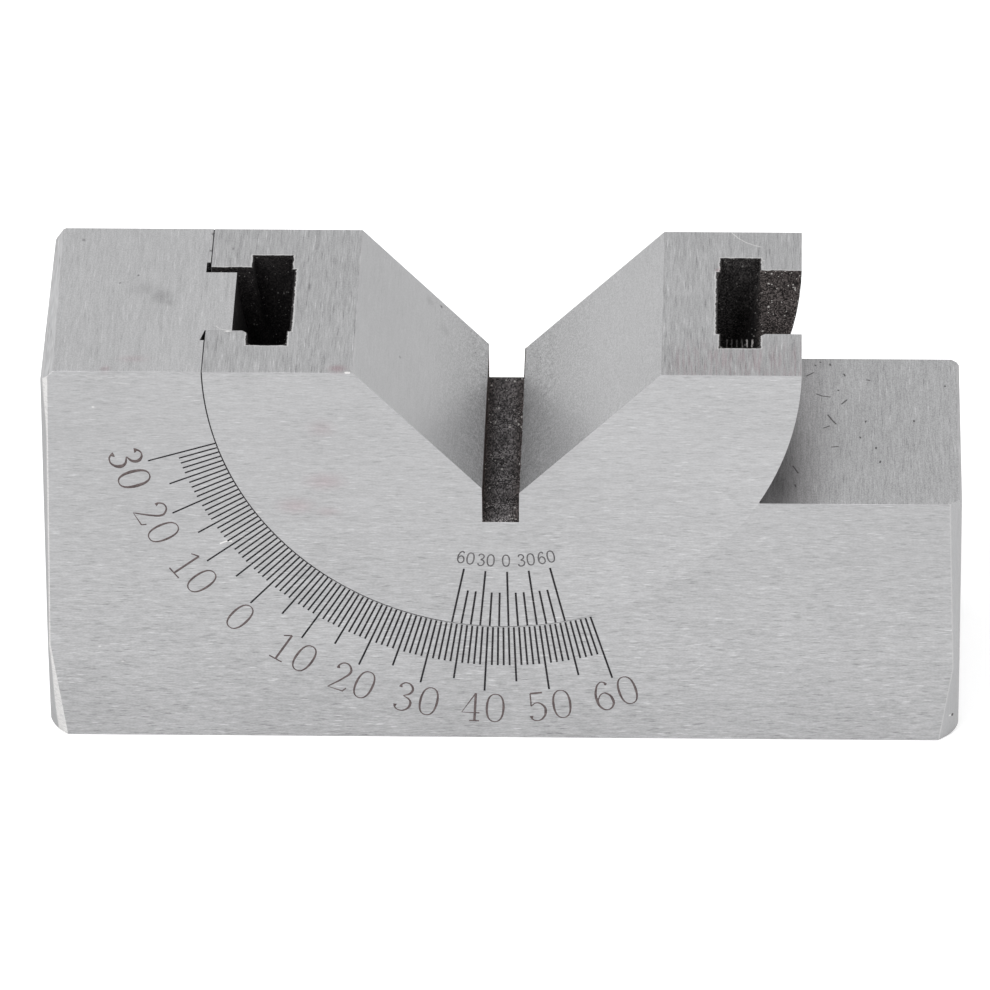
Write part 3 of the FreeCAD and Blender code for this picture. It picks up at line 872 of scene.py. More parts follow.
@dataclass
class BaseBlock(DressedBlock):
    """The graduated base."""

    node: str = "base_block"
    name: str = "base_dressed"
    body: Body = Body.BASE
    edge_break: float = 0.025
    torn_reach: float = 0.5
    level_grain: float = 0.55
    front_grain: Span = (0.62, 1.13)
    front_tones: Span = (0.91, 1.035)
    ledge_start: Span = (27.0, 27.5)
    # painted shade: the ledge's tone, darker than the top's
    ledge_tone: float = 0.82
    ledge_grain: float = 0.85
    ledge_grit: float = 0.75
    left_end: Span = (-44.0, -46.0)
    bevel_tones: Span = (1.02, 0.95)
    strip_tone: float = 1.1
    scale_colour: Colour = (0.020, 0.018, 0.018)
    scale_radius: float = 33.1
    scale_low: float = -9.05
    scale_high: float = 8.4
    stains: tuple[Mark, ...] = (
        Patch((-46.8, 13.3, TOP), (0.35, 0.5, 1.0), 0.55),
        Scratch(((-42.3, 3.6, TOP), (-41.4, 3.9, TOP), (-40.4, 5.2, TOP)), 0.10, 0.2),
        Patch((-40.35, 5.35, TOP), (0.22, 0.36, 1.0), 0.9),
        Patch((-42.25, 3.65, TOP), (0.16, 0.3, 1.0), 0.7),
        Patch((-39.4, 2.2, TOP), (2.4, 2.2, 1.0), 0.16),
        Patch((-37.6, 0.6, TOP), (2.0, 2.6, 1.0), 0.30),
        Patch((-36.7, -0.6, TOP), (0.8, 1.4, 1.0), 0.30),
        Patch((-32.6, 14.8, TOP), (0.25, 0.5, 1.0), 0.9),
        Patch((-32.65, 11.0, TOP), (0.22, 0.4, 1.0), 0.8),
        Patch((-43.0, -15.6, TOP), (0.7, 0.6, 1.0), 0.14),
        Scratch(((-31.6, -6.1, TOP), (-31.1, -6.4, TOP), (-30.4, -6.45, TOP)), 0.09, 0.25),
        Scratch(((49.28, -14.92, 2.62), (49.34, -14.86, 2.56)), 0.3, 0.9),
    )
    pits: tuple[tuple[Span, ...], ...] = (
        ((33.1, 12.09), (33.83, 12.84)),
        ((34.02, 14.57), (34.1, 14.4)),
        ((34.57, 15.25), (34.66, 15.15)),
        ((35.68, 14.82), (35.72, 14.5)),
        ((37.23, 12.59), (37.34, 12.14)),
        ((36.56, 9.0), (36.62, 8.85)),
        ((39.75, 11.28), (40.05, 11.2)),
        ((34.2, 8.08), (34.79, 7.64), (35.67, 7.43)),
        ((36.96, 5.89), (37.51, 6.79)),
        ((35.44, 3.43), (35.88, 2.33), (36.32, 1.45)),
        ((35.0, 0.55), (35.6, 1.0)),
        ((39.62, 2.16), (39.56, 1.9)),
        ((38.95, -1.38), (39.0, -1.6)),
        ((40.69, -3.6), (40.69, -3.95)),
        ((41.15, -6.6), (41.11, -7.0)),
        ((35.87, -3.62), (36.53, -3.5)),
        ((31.6, -7.83), (32.15, -9.35)),
        ((31.82, -11.9), (31.9, -12.3)),
        ((48.39, 10.1), (48.4, 9.9)),
        ((44.9, 2.35), (44.9, 2.05)),
    )
    pit_width: float = 0.19
    pit_strength: float = 0.95
    pales: tuple[Mark, ...] = (
        Scratch(((-30.8, FRONT, 24.5), (-30.1, FRONT, 24.8), (-29.6, FRONT, 24.8)), 0.18, 0.9),
        Patch((-44.3, FRONT, 11.3), (0.28, 0.5, 0.16), 0.6),
        Patch((-41.8, FRONT, 9.4), (0.28, 0.5, 0.16), 0.6),
        Patch((-44.31, FRONT, 41.54), (0.25, 0.5, 0.22), 0.7),
        Scratch(((49.1, -15.1, 2.7), (49.0, -15.2, 2.72)), 0.24, 0.7),
        Scratch(((20.7, FRONT, 8.5), (22.2, FRONT, 9.7)), 0.09, 0.25),
        Scratch(((-44.9, FRONT, 45.3), (-43.3, FRONT, 45.15)), 0.16, 0.16),
        Scratch(((-42.0, FRONT, 44.6), (-40.3, FRONT, 44.4)), 0.16, 0.16),
        Scratch(((-41.8, FRONT, 45.4), (-40.5, FRONT, 45.3)), 0.16, 0.16),
        Scratch(
            ((-31.34, -5.9, TOP), (-30.9, -6.5, TOP), (-30.3, -6.72, TOP), (-29.7, -6.7, TOP)), 0.11, 0.4
        ),
    )
    pinks: tuple[Patch, ...] = (
        Patch((-40.0, -13.2, TOP), (2.6, 1.2, 1.0), 0.35),
        Patch((-42.9, -15.4, TOP), (0.9, 0.9, 1.0), 0.5),
    )

    def zones(self, graph: MaterialGraph) -> Zones:
        """Gives the base's own masks.

        Args:
            graph: The material's graph.

        Returns:
            The masks.
        """
        torn = graph.torn(self.torn_reach)
        _, torn_y, _ = torn.parts()
        x, y, z = graph.place.parts()
        across, depthwise, upwards = graph.facing.parts()
        level = upwards.rise(*LEVEL_FACE)
        front = depthwise.rise(*FRONT_FACE)
        top = level * z.rise(TOP - 0.3, TOP - 0.1)
        ledge = level * x.rise(*self.ledge_start) * z.rise(LEDGE + 1.0, LEDGE + 0.5)
        inside = graph.radius.rise(self.scale_radius + 0.05, self.scale_radius - 0.05)
        middle = torn_y.between(self.scale_low, self.scale_high, 0.1)

        # flared bevels at both ends: a bright band of painted highlight beside the front face, duller metal
        # beyond it
        slant = (depthwise * across).rise(0.1, 0.3)
        left = x.rise(*self.left_end)
        wide = z.rise(13.0, 0.0, 0.1, 1.0) + z.rise(37.0, 46.0, 0.0, 0.45)
        beyond = y - FRONT - left.blend(0.06, wide)
        sparkle = graph.noise(graph.vector("MULTIPLY", graph.place, (2.0, 2.0, 5.0)), roughness=0.7)
        bevel_highlight_band = slant * beyond.rise(0.12, -0.06) * sparkle.rise(0.3, 0.6, 0.55, 1.0)
        strip = left * (across * upwards).rise(0.3, 0.45)

        # painted shade: the ledge, and the underside below it, are painted darker than the top, and darker
        # still towards the saddle's arc
        near = x.rise(38.0, 31.0)
        shade = near * 0.25 + x.rise(33.5, 29.5, 0.0, 0.22)
        # painted light: the front face is painted lighter than the top and the other faces, and darker near
        # its foot
        tone = front.blend(self.plain_tone, z.rise(-2.0, 14.0, *self.front_tones))
        tone = ledge.blend(tone, self.ledge_tone - shade)
        # painted light: the slanted bevels and the top-left strip get tones of their own, lighter or darker
        # by how light falls on them
        tone = slant.blend(tone, left.blend(*self.bevel_tones))
        tone = strip.blend(tone, self.strip_tone)
        grain, grit = self.cuts(graph, level, front)
        pits = [
            Scratch(tuple((*spot, LEDGE) for spot in run), self.pit_width, self.pit_strength)
            for run in self.pits
        ]
        return Zones(
            scale=inside * middle * (1.0 - top),
            tone=tone,
            grain=ledge.blend(grain, self.ledge_grain),
            grit=ledge.blend(grit, self.ledge_grit),
            stain=graph.largest(graph.marks(self.stains, torn), graph.marks(pits, graph.place)),
            pale=graph.largest(bevel_highlight_band * left.blend(0.3, 0.85), graph.marks(self.pales, graph.place)),
            rust=graph.largest(ledge * near * 0.1, graph.marks(self.pinks, torn)),
            scale_light=self.scale_colour,
        )


@dataclass
class VSaddle(DressedBlock):
    """The tilting saddle with the V and the curved tee slot.

    The tee slot's wings, neck and crown are given by their inner and outer radius and their front and back y.
    """

    node: str = "v_saddle"
    name: str = "saddle_dressed"
    body: Body = Body.SADDLE
    wings: tuple[float, float, float, float] = (23.5, 27.95, -10.0, 10.0)
    neck: tuple[float, float, float, float] = (27.7, 32.38, -6.92, 7.27)
    crown: tuple[float, float, float, float] = (23.1, 23.7, -6.85, 6.85)
    relief_half: float = 2.05
    relief_top: float = 31.4
    neck_back: Span = (7.0, 7.3)
    front_tones: Span = (1.045, 1.10)
    level_tone: float = 0.81
    slope_grain: float = 0.26
    deep_grit: float = 1.4
    left_slot: Colour = (0.034, 0.031, 0.031)
    right_slot: Colour = (0.078, 0.073, 0.072)
    lit_wall: Colour = (0.150, 0.130, 0.126)
    dim_wall: Colour = (0.010, 0.009, 0.009)
    relief_edge: Colour = (0.13, 0.108, 0.104)
    relief_centre: Colour = (0.32, 0.30, 0.305)
    relief_side: Colour = (0.11, 0.075, 0.068)
    deep_black: Colour = (0.004, 0.0035, 0.004)
    deep_brown: Colour = (0.003, 0.0025, 0.0025)
    tick_light: Colour = (0.75, 0.72, 0.70)
    tick_deep: Colour = (0.45, 0.42, 0.42)
    stains: tuple[Patch, ...] = (
        Patch((-30.2, 11.5, TOP), (0.25, 0.5, 1.0), 0.5),
        Patch((-21.5, 3.0, TOP), (0.22, 1.4, 1.0), 0.5),
        Patch((-7.42, 14.75, 37.02), (0.3, 0.4, 0.3), 0.9),
        Patch((-11.4, -3.89, 41.14), (0.25, 0.4, 0.25), 0.55),
        Patch((-8.65, 13.74, 38.3), (1.0, 1.6, 1.0), 0.16),
        Patch((-6.91, 10.42, 36.5), (1.0, 1.8, 1.0), 0.16),
    )
    hair: tuple[Span, ...] = (
        (24.72, 15.79), (25.39, 14.66), (26.17, 13.76), (27.05, 13.09), (27.94, 12.64),
    )
    pales: tuple[Mark, ...] = (
        Patch((-30.0, -6.95, TOP), (0.55, 0.3, 0.3), 1.0),
        Scratch(((-26.9, FRONT, 28.5), (-26.3, FRONT, 28.5)), 0.14, 0.6),
        Patch((-25.0, 9.95, 45.6), (0.2, 0.3, 0.2), 1.0),
        Scratch(((-16.85, -15.9, TOP), (-16.5, -15.9, TOP)), 0.3, 0.9),
        Scratch(((26.5, 9.95, 45.35), (27.5, 9.95, 45.6), (28.3, 9.5, TOP)), 0.11, 0.9),
        Scratch(((0.3, -6.2, 27.4), (0.64, -7.9, 27.4), (1.21, -9.2, 27.4), (1.6, -9.65, 27.4)), 0.10, 0.35),
    )
    rusts: tuple[Patch, ...] = (
        Patch((-19.6, FRONT, 39.0), (2.2, 1.0, 1.6), 0.3),
        Patch((-19.3, FRONT, 32.4), (3.2, 1.0, 1.6), 0.42),
        Patch((-22.5, FRONT, 29.3), (3.0, 1.0, 1.5), 0.42),
        Patch((-19.0, FRONT, 28.6), (2.0, 1.0, 0.9), 0.3),
        Patch((-17.8, -15.1, TOP), (1.6, 1.3, 0.5), 0.8),
        Patch((23.3, 7.4, TOP), (0.5, 0.6, 0.6), 0.9),
    )

    def zones(self, graph: MaterialGraph) -> Zones:
        """Gives the saddle's own masks.

        Args:
            graph: The material's graph.

        Returns:
            The masks.
        """
        torn = graph.torn(self.torn_reach)
        torn_x, torn_y, torn_z = torn.parts()
        x, y, z = graph.place.parts()
        across, depthwise, upwards = graph.facing.parts()
        level = upwards.rise(*LEVEL_FACE)
        front = depthwise.rise(*FRONT_FACE)
        torn_radius = graph.distance(torn_x, torn_z - SWIVEL_HEIGHT)
        # the neck's front lip stays clean on the top face
        lip = torn_y - upwards.rise(*LEVEL_FACE, 0.0, 0.32)
        in_mouth = abs(x).rise(14.0, 14.5)

        def slot(extra: float) -> Value:
            """The tee slot's outline.

            Args:
                extra: How far the outline is widened, in millimetres.

            Returns:
                Its mask.
            """
            sections = ((self.wings, torn_y), (self.neck, lip), (self.crown, torn_y))
            outline = graph.largest(*(
                torn_radius.between(inner - extra, outer + extra, 0.06)
                * depth.rise(front_end - extra - 0.1, front_end - extra)
                * torn_y.rise(back_end + extra + 0.1, back_end + extra)
                for (inner, outer, front_end, back_end), depth in sections
            ))
            return outline * in_mouth

        tee = slot(0.04)
        # painted highlight: a pale line along the tee slot's edges in the top face
        slot_rim_highlight = (slot(0.2) - tee) * level * 0.36
        off = abs(torn_x + 0.2)
        in_relief = off.rise(self.relief_half + 0.1, self.relief_half)
        relief = in_relief * torn_z.rise(self.relief_top + 0.15, self.relief_top) * depthwise.rise(0.6, 0.4)
        # the neck's back wall at the right end: brown where light reaches it, dim further in
        back_wall = x.rise(20.0, 21.0) * y.between(*self.neck_back, 0.1) * graph.radius.rise(27.7, 27.9)
        neck_wall = back_wall * x.rise(27.0, 28.2)
        brown = graph.largest(relief, neck_wall)

        # painted shade: the V's faces darken towards the relief slot at the bottom of the V, and roughen
        # there
        slope = across.rise(0.5, 0.6) * upwards.rise(0.5, 0.6) * depthwise.rise(0.3, 0.1)
        right_front = x.rise(14.0, 18.0) * y.rise(-6.0, -11.0) * 0.05
        top_left = x.rise(0.0, -2.0) * z.rise(36.0, 42.0) * 0.04
        cloudy = graph.noise(graph.place, 1.1, 3.0, 0.65).rise(0.3, 0.7, -1.0, 1.0)
        blotch = cloudy * z.rise(37.0, 31.0) * 0.11
        slope_tone_with_shade = 1.0 - z.rise(41.0, 30.0) * 0.2 - top_left + blotch
        # painted light: the front faces are painted lighter than the top, more so towards the right, and the
        # top is painted darker
        tone = front.blend(self.plain_tone, x.rise(-4.0, 20.0, *self.front_tones))
        tone = slope.blend(level.blend(tone, self.level_tone - right_front), slope_tone_with_shade)
        grain, grit = self.cuts(graph, level, front)
        on_right = x.rise(-1.0, 1.0)
        slope_grit = z.rise(on_right.blend(40.0, 43.0), 30.0, on_right.blend(0.25, 0.6), self.deep_grit)

        low_back = z.rise(36.0, 32.0) * y.rise(2.0, 12.0)
        pitted = graph.largest(low_back * x.rise(0.5, -0.5, 0.45, 0.8), z.rise(36.0, 31.0, 0.0, 0.4))
        dots = graph.specks(0.3, 0.06) * slope * pitted
        # bright ticks that the cutter left at the front of the right mouth
        swing = graph.math("SINE", torn_x * (2.0 * math.pi / TICK_PITCH))
        row = (torn_z + torn_y * 0.583).between(40.55, 41.6, 0.12)
        shaved = swing.rise(0.25, 0.8) * row * x.between(24.2, 27.3, 0.1) * tee
        streaky = graph.noise(graph.vector("DIVIDE", graph.place, (0.35, 5.0, 1.0)))
        red = level * x.rise(17.0, 20.0) * y.rise(-7.0, -12.0) * streaky.rise(0.42, 0.68) * 0.5

        light = x.rise(-5.0, 5.0).mix(self.left_slot, self.right_slot)
        light = neck_wall.mix(light, self.lit_wall)
        # painted shade: the relief slot is lighter along its middle and towards the front, and darker at its
        # sides, its side walls and towards the back
        centre = off.rise(2.1, 0.6) * y.rise(16.0, 4.0, 0.6, 1.0)
        light = relief.mix(light, centre.mix(self.relief_edge, self.relief_centre))
        light = (relief * across.rise(*FRONT_FACE)).mix(light, self.relief_side)
        light = (back_wall - neck_wall).mix(light, self.dim_wall)
        deep = brown.mix(self.deep_black, self.deep_brown)
        hair = Scratch(tuple((*spot, TOP) for spot in self.hair), 0.11, 0.5)
        return Zones(
            scale=graph.largest(tee, relief),
            tone=tone,
            grain=slope.blend(grain, self.slope_grain),
            grit=slope.blend(grit, slope_grit),
            stain=graph.largest(dots, graph.marks(self.stains, graph.place)),
            pale=graph.largest(slot_rim_highlight, graph.marks((hair, *self.pales), graph.place)),
            rust=graph.largest(red, graph.marks(self.rusts, torn)),
            scale_light=shaved.mix(light, self.tick_light),
            scale_deep=shaved.mix(deep, self.tick_deep),
            scale_specks=brown.blend(0.22, 0.85),
        )


def ring_point(radius: float, angle: float, front: float = FRONT) -> Vector:
    """A point on the front face, round the swivel axis.

    Args:
        radius: Distance from the axis in millimetres.
        angle: Degrees from +X towards +Z.
        front: The face's y in millimetres.

    Returns:
        The point in metres.
    """
    turn = math.radians(angle)
    return Vector((radius * math.cos(turn), front, SWIVEL_HEIGHT + radius * math.sin(turn))) * MM


@dataclass(frozen=True)
class Tick:
    """One engraved line; its inner end may lean off the ray from the swivel axis."""

    angle: float
    inner: float
    outer: float
    lean: float = 0.0


@dataclass
class Engraving:
    """Lines and numerals in the front face of one body."""

    name: str
    body: Body
    ticks: list[Tick]
    labels: list[Label]
    line_width: float = 0.22
    narrow: float = 0.74
    proud: float = 0.012
    sunk: float = 0.05

    def cut_lines(self, material: bpy.types.Material) -> None:
        """Makes every line as a thin inlay in the face, narrower the more level it lies.

        Args:
            material: The engraving's finish.
        """
        work = bmesh.new()
        for tick in self.ticks:
            start, end = ring_point(tick.inner, tick.angle + tick.lean), ring_point(tick.outer, tick.angle)
            middle = (start + end) / 2
            middle.y += (self.sunk - self.proud) / 2 * MM
            steep = math.sin(math.radians(tick.angle)) ** 2
            width = self.line_width * (self.narrow + (1.0 - self.narrow) * steep) * MM
            turn = Matrix.Rotation(-math.atan2(end.z - start.z, end.x - start.x), 4, "Y")
            box(work, Vector(((end - start).length, (self.proud + self.sunk) * MM, width)), middle, turn)
        settle(make_object(self.name + "_lines", work, material), self.body)

    def cut_numerals(self, material: bpy.types.Material) -> None:
        """Makes every numeral of the scale.

        Args:
            material: The engraving's finish.
        """
        work = bmesh.new()
        for label in self.labels:
            label.add_to(work, self.proud)
        for face in work.faces:
            face.smooth = True
        settle(make_object(self.name + "_numerals", work, material), self.body)


# the strokes of each digit in a box one unit tall: closed or not, then the knots as x, y, weight and,
# at a corner, True
STROKES: dict[str, list[tuple[bool, list[tuple]]]] = {
    "0": [(True, [(0.53, 0.5, 1.3), (0.28, 0.98, 0.75), (0.03, 0.5, 1.3), (0.28, 0.02, 0.75)])],
    "1": [
        (False, [(0.30, 0.02, 1.2, True), (0.30, 0.97, 1.2, True)]),
        (False, [(0.30, 0.97, 1.0, True), (0.09, 0.84, 0.8, True)]),
        (False, [(0.08, 0.02, 0.9, True), (0.52, 0.02, 0.9, True)]),
    ],
    "2": [(False, [
        (0.09, 0.74, 1.8), (0.08, 0.85, 1.0), (0.26, 0.985, 0.9), (0.47, 0.83, 1.2), (0.48, 0.70, 1.3),
        (0.36, 0.47, 1.1), (0.03, 0.02, 0.8, True), (0.50, 0.04, 1.0, True), (0.56, 0.18, 0.8, True)])],
    "3": [
        (False, [(0.10, 0.80, 1.8), (0.12, 0.90, 1.0), (0.27, 0.98, 0.8), (0.46, 0.84, 1.3),
                 (0.44, 0.66, 1.2), (0.24, 0.52, 0.7, True)]),
        (False, [(0.24, 0.52, 0.7, True), (0.46, 0.40, 1.1), (0.50, 0.24, 1.4), (0.40, 0.06, 1.0),
                 (0.24, 0.0, 0.8), (0.07, 0.08, 0.9), (0.06, 0.19, 1.8)]),
    ],
    "4": [
        (False, [(0.42, 0.98, 0.9, True), (0.03, 0.30, 0.8, True), (0.56, 0.30, 0.9, True)]),
        (False, [(0.42, 0.98, 1.3, True), (0.42, 0.02, 1.3, True)]),
        (False, [(0.26, 0.02, 0.9, True), (0.56, 0.02, 0.9, True)]),
    ],
    "5": [
        (False, [(0.12, 0.96, 1.2, True), (0.48, 0.96, 1.1, True)]),
        (False, [(0.12, 0.96, 0.9, True), (0.10, 0.52, 0.9, True)]),
        (False, [(0.10, 0.52, 0.8, True), (0.27, 0.62, 0.8), (0.48, 0.48, 1.2), (0.51, 0.30, 1.4),
                 (0.42, 0.09, 1.1), (0.26, 0.0, 0.8), (0.08, 0.08, 0.9), (0.07, 0.18, 1.8)]),
    ],
    "6": [(False, [
        (0.46, 0.86, 1.6), (0.40, 0.97, 0.8), (0.30, 0.985, 0.8), (0.10, 0.72, 1.2), (0.05, 0.40, 1.4),
        (0.10, 0.14, 1.2), (0.28, 0.01, 0.8), (0.48, 0.14, 1.2), (0.51, 0.32, 1.4), (0.44, 0.52, 1.1),
        (0.29, 0.60, 0.8), (0.10, 0.44, 0.9), (0.06, 0.34, 1.0)])],
}
DIGIT_MIDDLE = (0.28, 0.5)


@dataclass(frozen=True)
class Label:
    """One number on a scale."""

    text: str
    angle: float
    radius: float
    height: float
    stroke: float
    style: Lettering = Lettering.SERIF
    pitch: float = 0.74
    emphasis: float = 1.0

    def digit(self, character: str) -> bpy.types.Mesh:
        """Draws one digit about its own middle, upright in the x-y plane, one unit tall.

        Args:
            character: The digit.

        Returns:
            Its mesh, for the caller to remove.
        """
        curve = bpy.data.curves.new("stroke", "CURVE")
        curve.dimensions = "3D"
        curve.resolution_u = 7
        curve.bevel_depth = self.stroke / self.height / 2
        curve.bevel_resolution = 1
        curve.use_fill_caps = True
        swell = 0.0 if self.style is Lettering.PLAIN else self.emphasis
        for closed, knots in STROKES[character]:
            spline = curve.splines.new("BEZIER")
            spline.bezier_points.add(len(knots) - 1)
            spline.use_cyclic_u = closed
            for point, (x, y, weight, *corner) in zip(spline.bezier_points, knots):
                point.co = (x - DIGIT_MIDDLE[0], y - DIGIT_MIDDLE[1], 0.0)
                point.handle_left_type = point.handle_right_type = "VECTOR" if corner else "AUTO"
                point.radius = 1.0 + (weight - 1.0) * swell
        holder = bpy.data.objects.new("stroke", curve)
        bpy.context.scene.collection.objects.link(holder)
        bpy.context.view_layer.update()
        mesh = bpy.data.meshes.new_from_object(holder.evaluated_get(bpy.context.evaluated_depsgraph_get()))
        bpy.data.objects.remove(holder)
        bpy.data.curves.remove(curve)
        return mesh

    def add_to(self, target: bmesh.types.BMesh, proud: float) -> None:
        """Sets the number in the front face.

        Args:
            target: The shape that collects a scale's numbers.
            proud: How far the lines stand off the face, in millimetres.
        """
        turn = Matrix.Rotation(-math.radians(self.angle + 90.0), 4, "Y")
        upright = Matrix.Rotation(math.radians(90.0), 4, "X")
        centre = Matrix.Translation(ring_point(self.radius, self.angle))
        flat = proud / (self.stroke / 2)
        size = Matrix.Diagonal((self.height * MM, self.height * MM, self.height * MM * flat, 1.0))
        for index, character in enumerate(self.text):
            shift = (index - (len(self.text) - 1) / 2) * self.pitch
            mesh = self.digit(character)
            mesh.transform(centre @ turn @ upright @ size @ Matrix.Translation((shift, 0.0, 0.0)))
            target.from_mesh(mesh)
            bpy.data.meshes.remove(mesh)


@dataclass
class DegreeScale:
    """The one-degree scale on the base."""

    start: float = -132.95
    lowest: int = -30
    highest: int = 60
    inner: float = 32.57
    short: float = 36.72
    middle: float = 38.8
    long: float = 40.05
    longer_below: float = 0.7
    label_radii: tuple[float, ...] = (42.41, 42.40, 42.53, 42.66, 42.69, 42.85, 42.89, 42.90, 42.79, 42.71)
    nudges: tuple[float, ...] = (0.47, 0.43, 0.43, 0.46, 0.37, 0.22, 0.06, -0.12, -0.28, -0.32)
    label_height: float = 3.68

    def engraving(self) -> Engraving:
        """Lays out the scale.

        Returns:
            Its lines and numbers.
        """
        ticks = []
        for reading in range(self.lowest, self.highest + 1):
            outer = self.long if reading % 10 == 0 else self.middle if reading % 5 == 0 else self.short
            outer += self.longer_below * abs(math.sin(math.radians(self.start + reading)))
            ticks.append(Tick(self.start + reading, self.inner, outer))
        labels = []
        numbered = range(self.lowest, self.highest + 1, 10)
        for nudge, radius, reading in zip(self.nudges, self.label_radii, numbered):
            stroke, emphasis = (0.25, 1.9) if reading == self.lowest else (0.19, 1.4)
            angle = self.start + reading + nudge
            text = str(abs(reading))
            labels.append(Label(text, angle, radius, self.label_height, stroke, emphasis=emphasis))
        return Engraving("angle_scale", Body.BASE, ticks, labels)


@dataclass
class Vernier:
    """The ten-minute vernier on the saddle; its zero reads 44 degrees on the scale."""

    zero: float = -88.95
    step: float = 11.0 / 6.0
    reach: int = 6
    outer: float = 32.415
    long: float = 25.5
    short: float = 28.17
    closing: float = 0.035
    label_radius: float = 24.1
    label_height: float = 1.48
    label_stroke: float = 0.16
    label_pitch: float = 0.7
    labels: tuple[tuple[str, float], ...] = (
        ("60", -99.61), ("30", -94.35), ("0", -89.15), ("30", -83.96), ("60", -78.68),
    )

    def engraving(self) -> Engraving:
        """Lays out the vernier.

        Returns:
            Its lines and numbers.
        """
        ticks = []
        for number in range(-self.reach, self.reach + 1):
            along = number * self.step
            inner = self.long if number % 3 == 0 else self.short
            ticks.append(Tick(self.zero + along, inner, self.outer, -self.closing * along))
        cut = (self.label_radius, self.label_height, self.label_stroke, Lettering.PLAIN, self.label_pitch)
        labels = [Label(text, angle, *cut) for text, angle in self.labels]
        return Engraving("vernier", Body.SADDLE, ticks, labels)


@dataclass(frozen=True)
class SeatRing:
    """A thin part of a ring round the swivel axis, at or in the seat's gap.

    Its knots are angles and inner radii.
    """

    name: str
    knots: tuple[Span, ...]
    outer: float
    front: float
    back: float
    steps: int = 75

    def reach(self, angle: float) -> float:
        """How far in the ring comes.

        Args:
            angle: Degrees round the swivel axis.

        Returns:
            The radius of its inner edge.
        """
        for (before, first), (after, second) in zip(self.knots, self.knots[1:]):
            if angle <= after:
                return first + (second - first) * (angle - before) / (after - before)
        return self.knots[-1][1]

    def build(self, material: bpy.types.Material) -> None:
        """Spins the ring's section round the axis, then draws its inner edge in.

        Each corner is set anew at its own step, because the spin adds up errors of rounding.

        Args:
            material: Its finish.
        """
        work = bmesh.new()
        (first, inner), (last, _) = self.knots[0], self.knots[-1]
        corners = ((inner, self.front), (self.outer, self.front), (self.outer, self.back), (inner, self.back))
        face = work.faces.new([work.verts.new(ring_point(radius, first, y)) for radius, y in corners])
        bmesh.ops.spin(
            work,
            geom=[face, *face.edges, *face.verts],
            cent=(0.0, 0.0, SWIVEL_HEIGHT * MM),
            axis=(0.0, -1.0, 0.0),
            angle=math.radians(last - first),
            steps=self.steps,
        )
        turn = last - first
        for vert in work.verts:
            x, y, z = vert.co / MM
            gone = math.degrees(math.atan2(z - SWIVEL_HEIGHT, x)) - first
            angle = first + turn * round(gone * self.steps / turn) / self.steps
            inside = math.hypot(x, z - SWIVEL_HEIGHT) < (inner + self.outer) / 2
            vert.co = ring_point(self.reach(angle) if inside else self.outer, angle, y)
        bmesh.ops.recalc_face_normals(work, faces=work.faces)
        settle(make_object(self.name, work, material), Body.BASE)


SEAT_BURR = SeatRing(
    "seat_burr",
    ((-106.0, 32.56), (-100.0, 32.505), (-76.0, 32.49), (-71.0, 32.45), (-68.5, 32.44), (-30.7, 32.44)),
    32.58,
    -16.006,
    -16.001,
)
# painted shade: dark rings at and in the seat's gap, in the engraving's black, deepen the gap's dark line
SEAT_GAP_SHADE = (
    SeatRing(
        "seat_edge_shadow", ((-178.7, 32.42), (-152.0, 32.435), (-125.0, 32.47)), 32.565, -16.004, -16.001
    ),
    SeatRing("seat_gap_shade_front", ((-178.7, 32.46), (-100.0, 32.46)), 32.54, -15.96, -15.4),
    SeatRing("seat_gap_shade_back", ((-178.7, 32.46), (-150.0, 32.46)), 32.54, 15.2, 15.97),
)


@dataclass(frozen=True)
class RibBurr:
    """The thin lip that grinding drew over the gap in front of the rib, in the top face."""

    low: Point = (-32.45, -6.857, 46.0005)
    high: Point = (-29.56, -6.78, 46.004)

    def build(self, material: bpy.types.Material) -> None:
        """Makes the lip.

        Args:
            material: The base's finish.
        """
        low, high = Vector(self.low) * MM, Vector(self.high) * MM
        work = bmesh.new()
        box(work, high - low, (low + high) / 2)
        settle(make_object("rib_burr", work, material), Body.BASE)


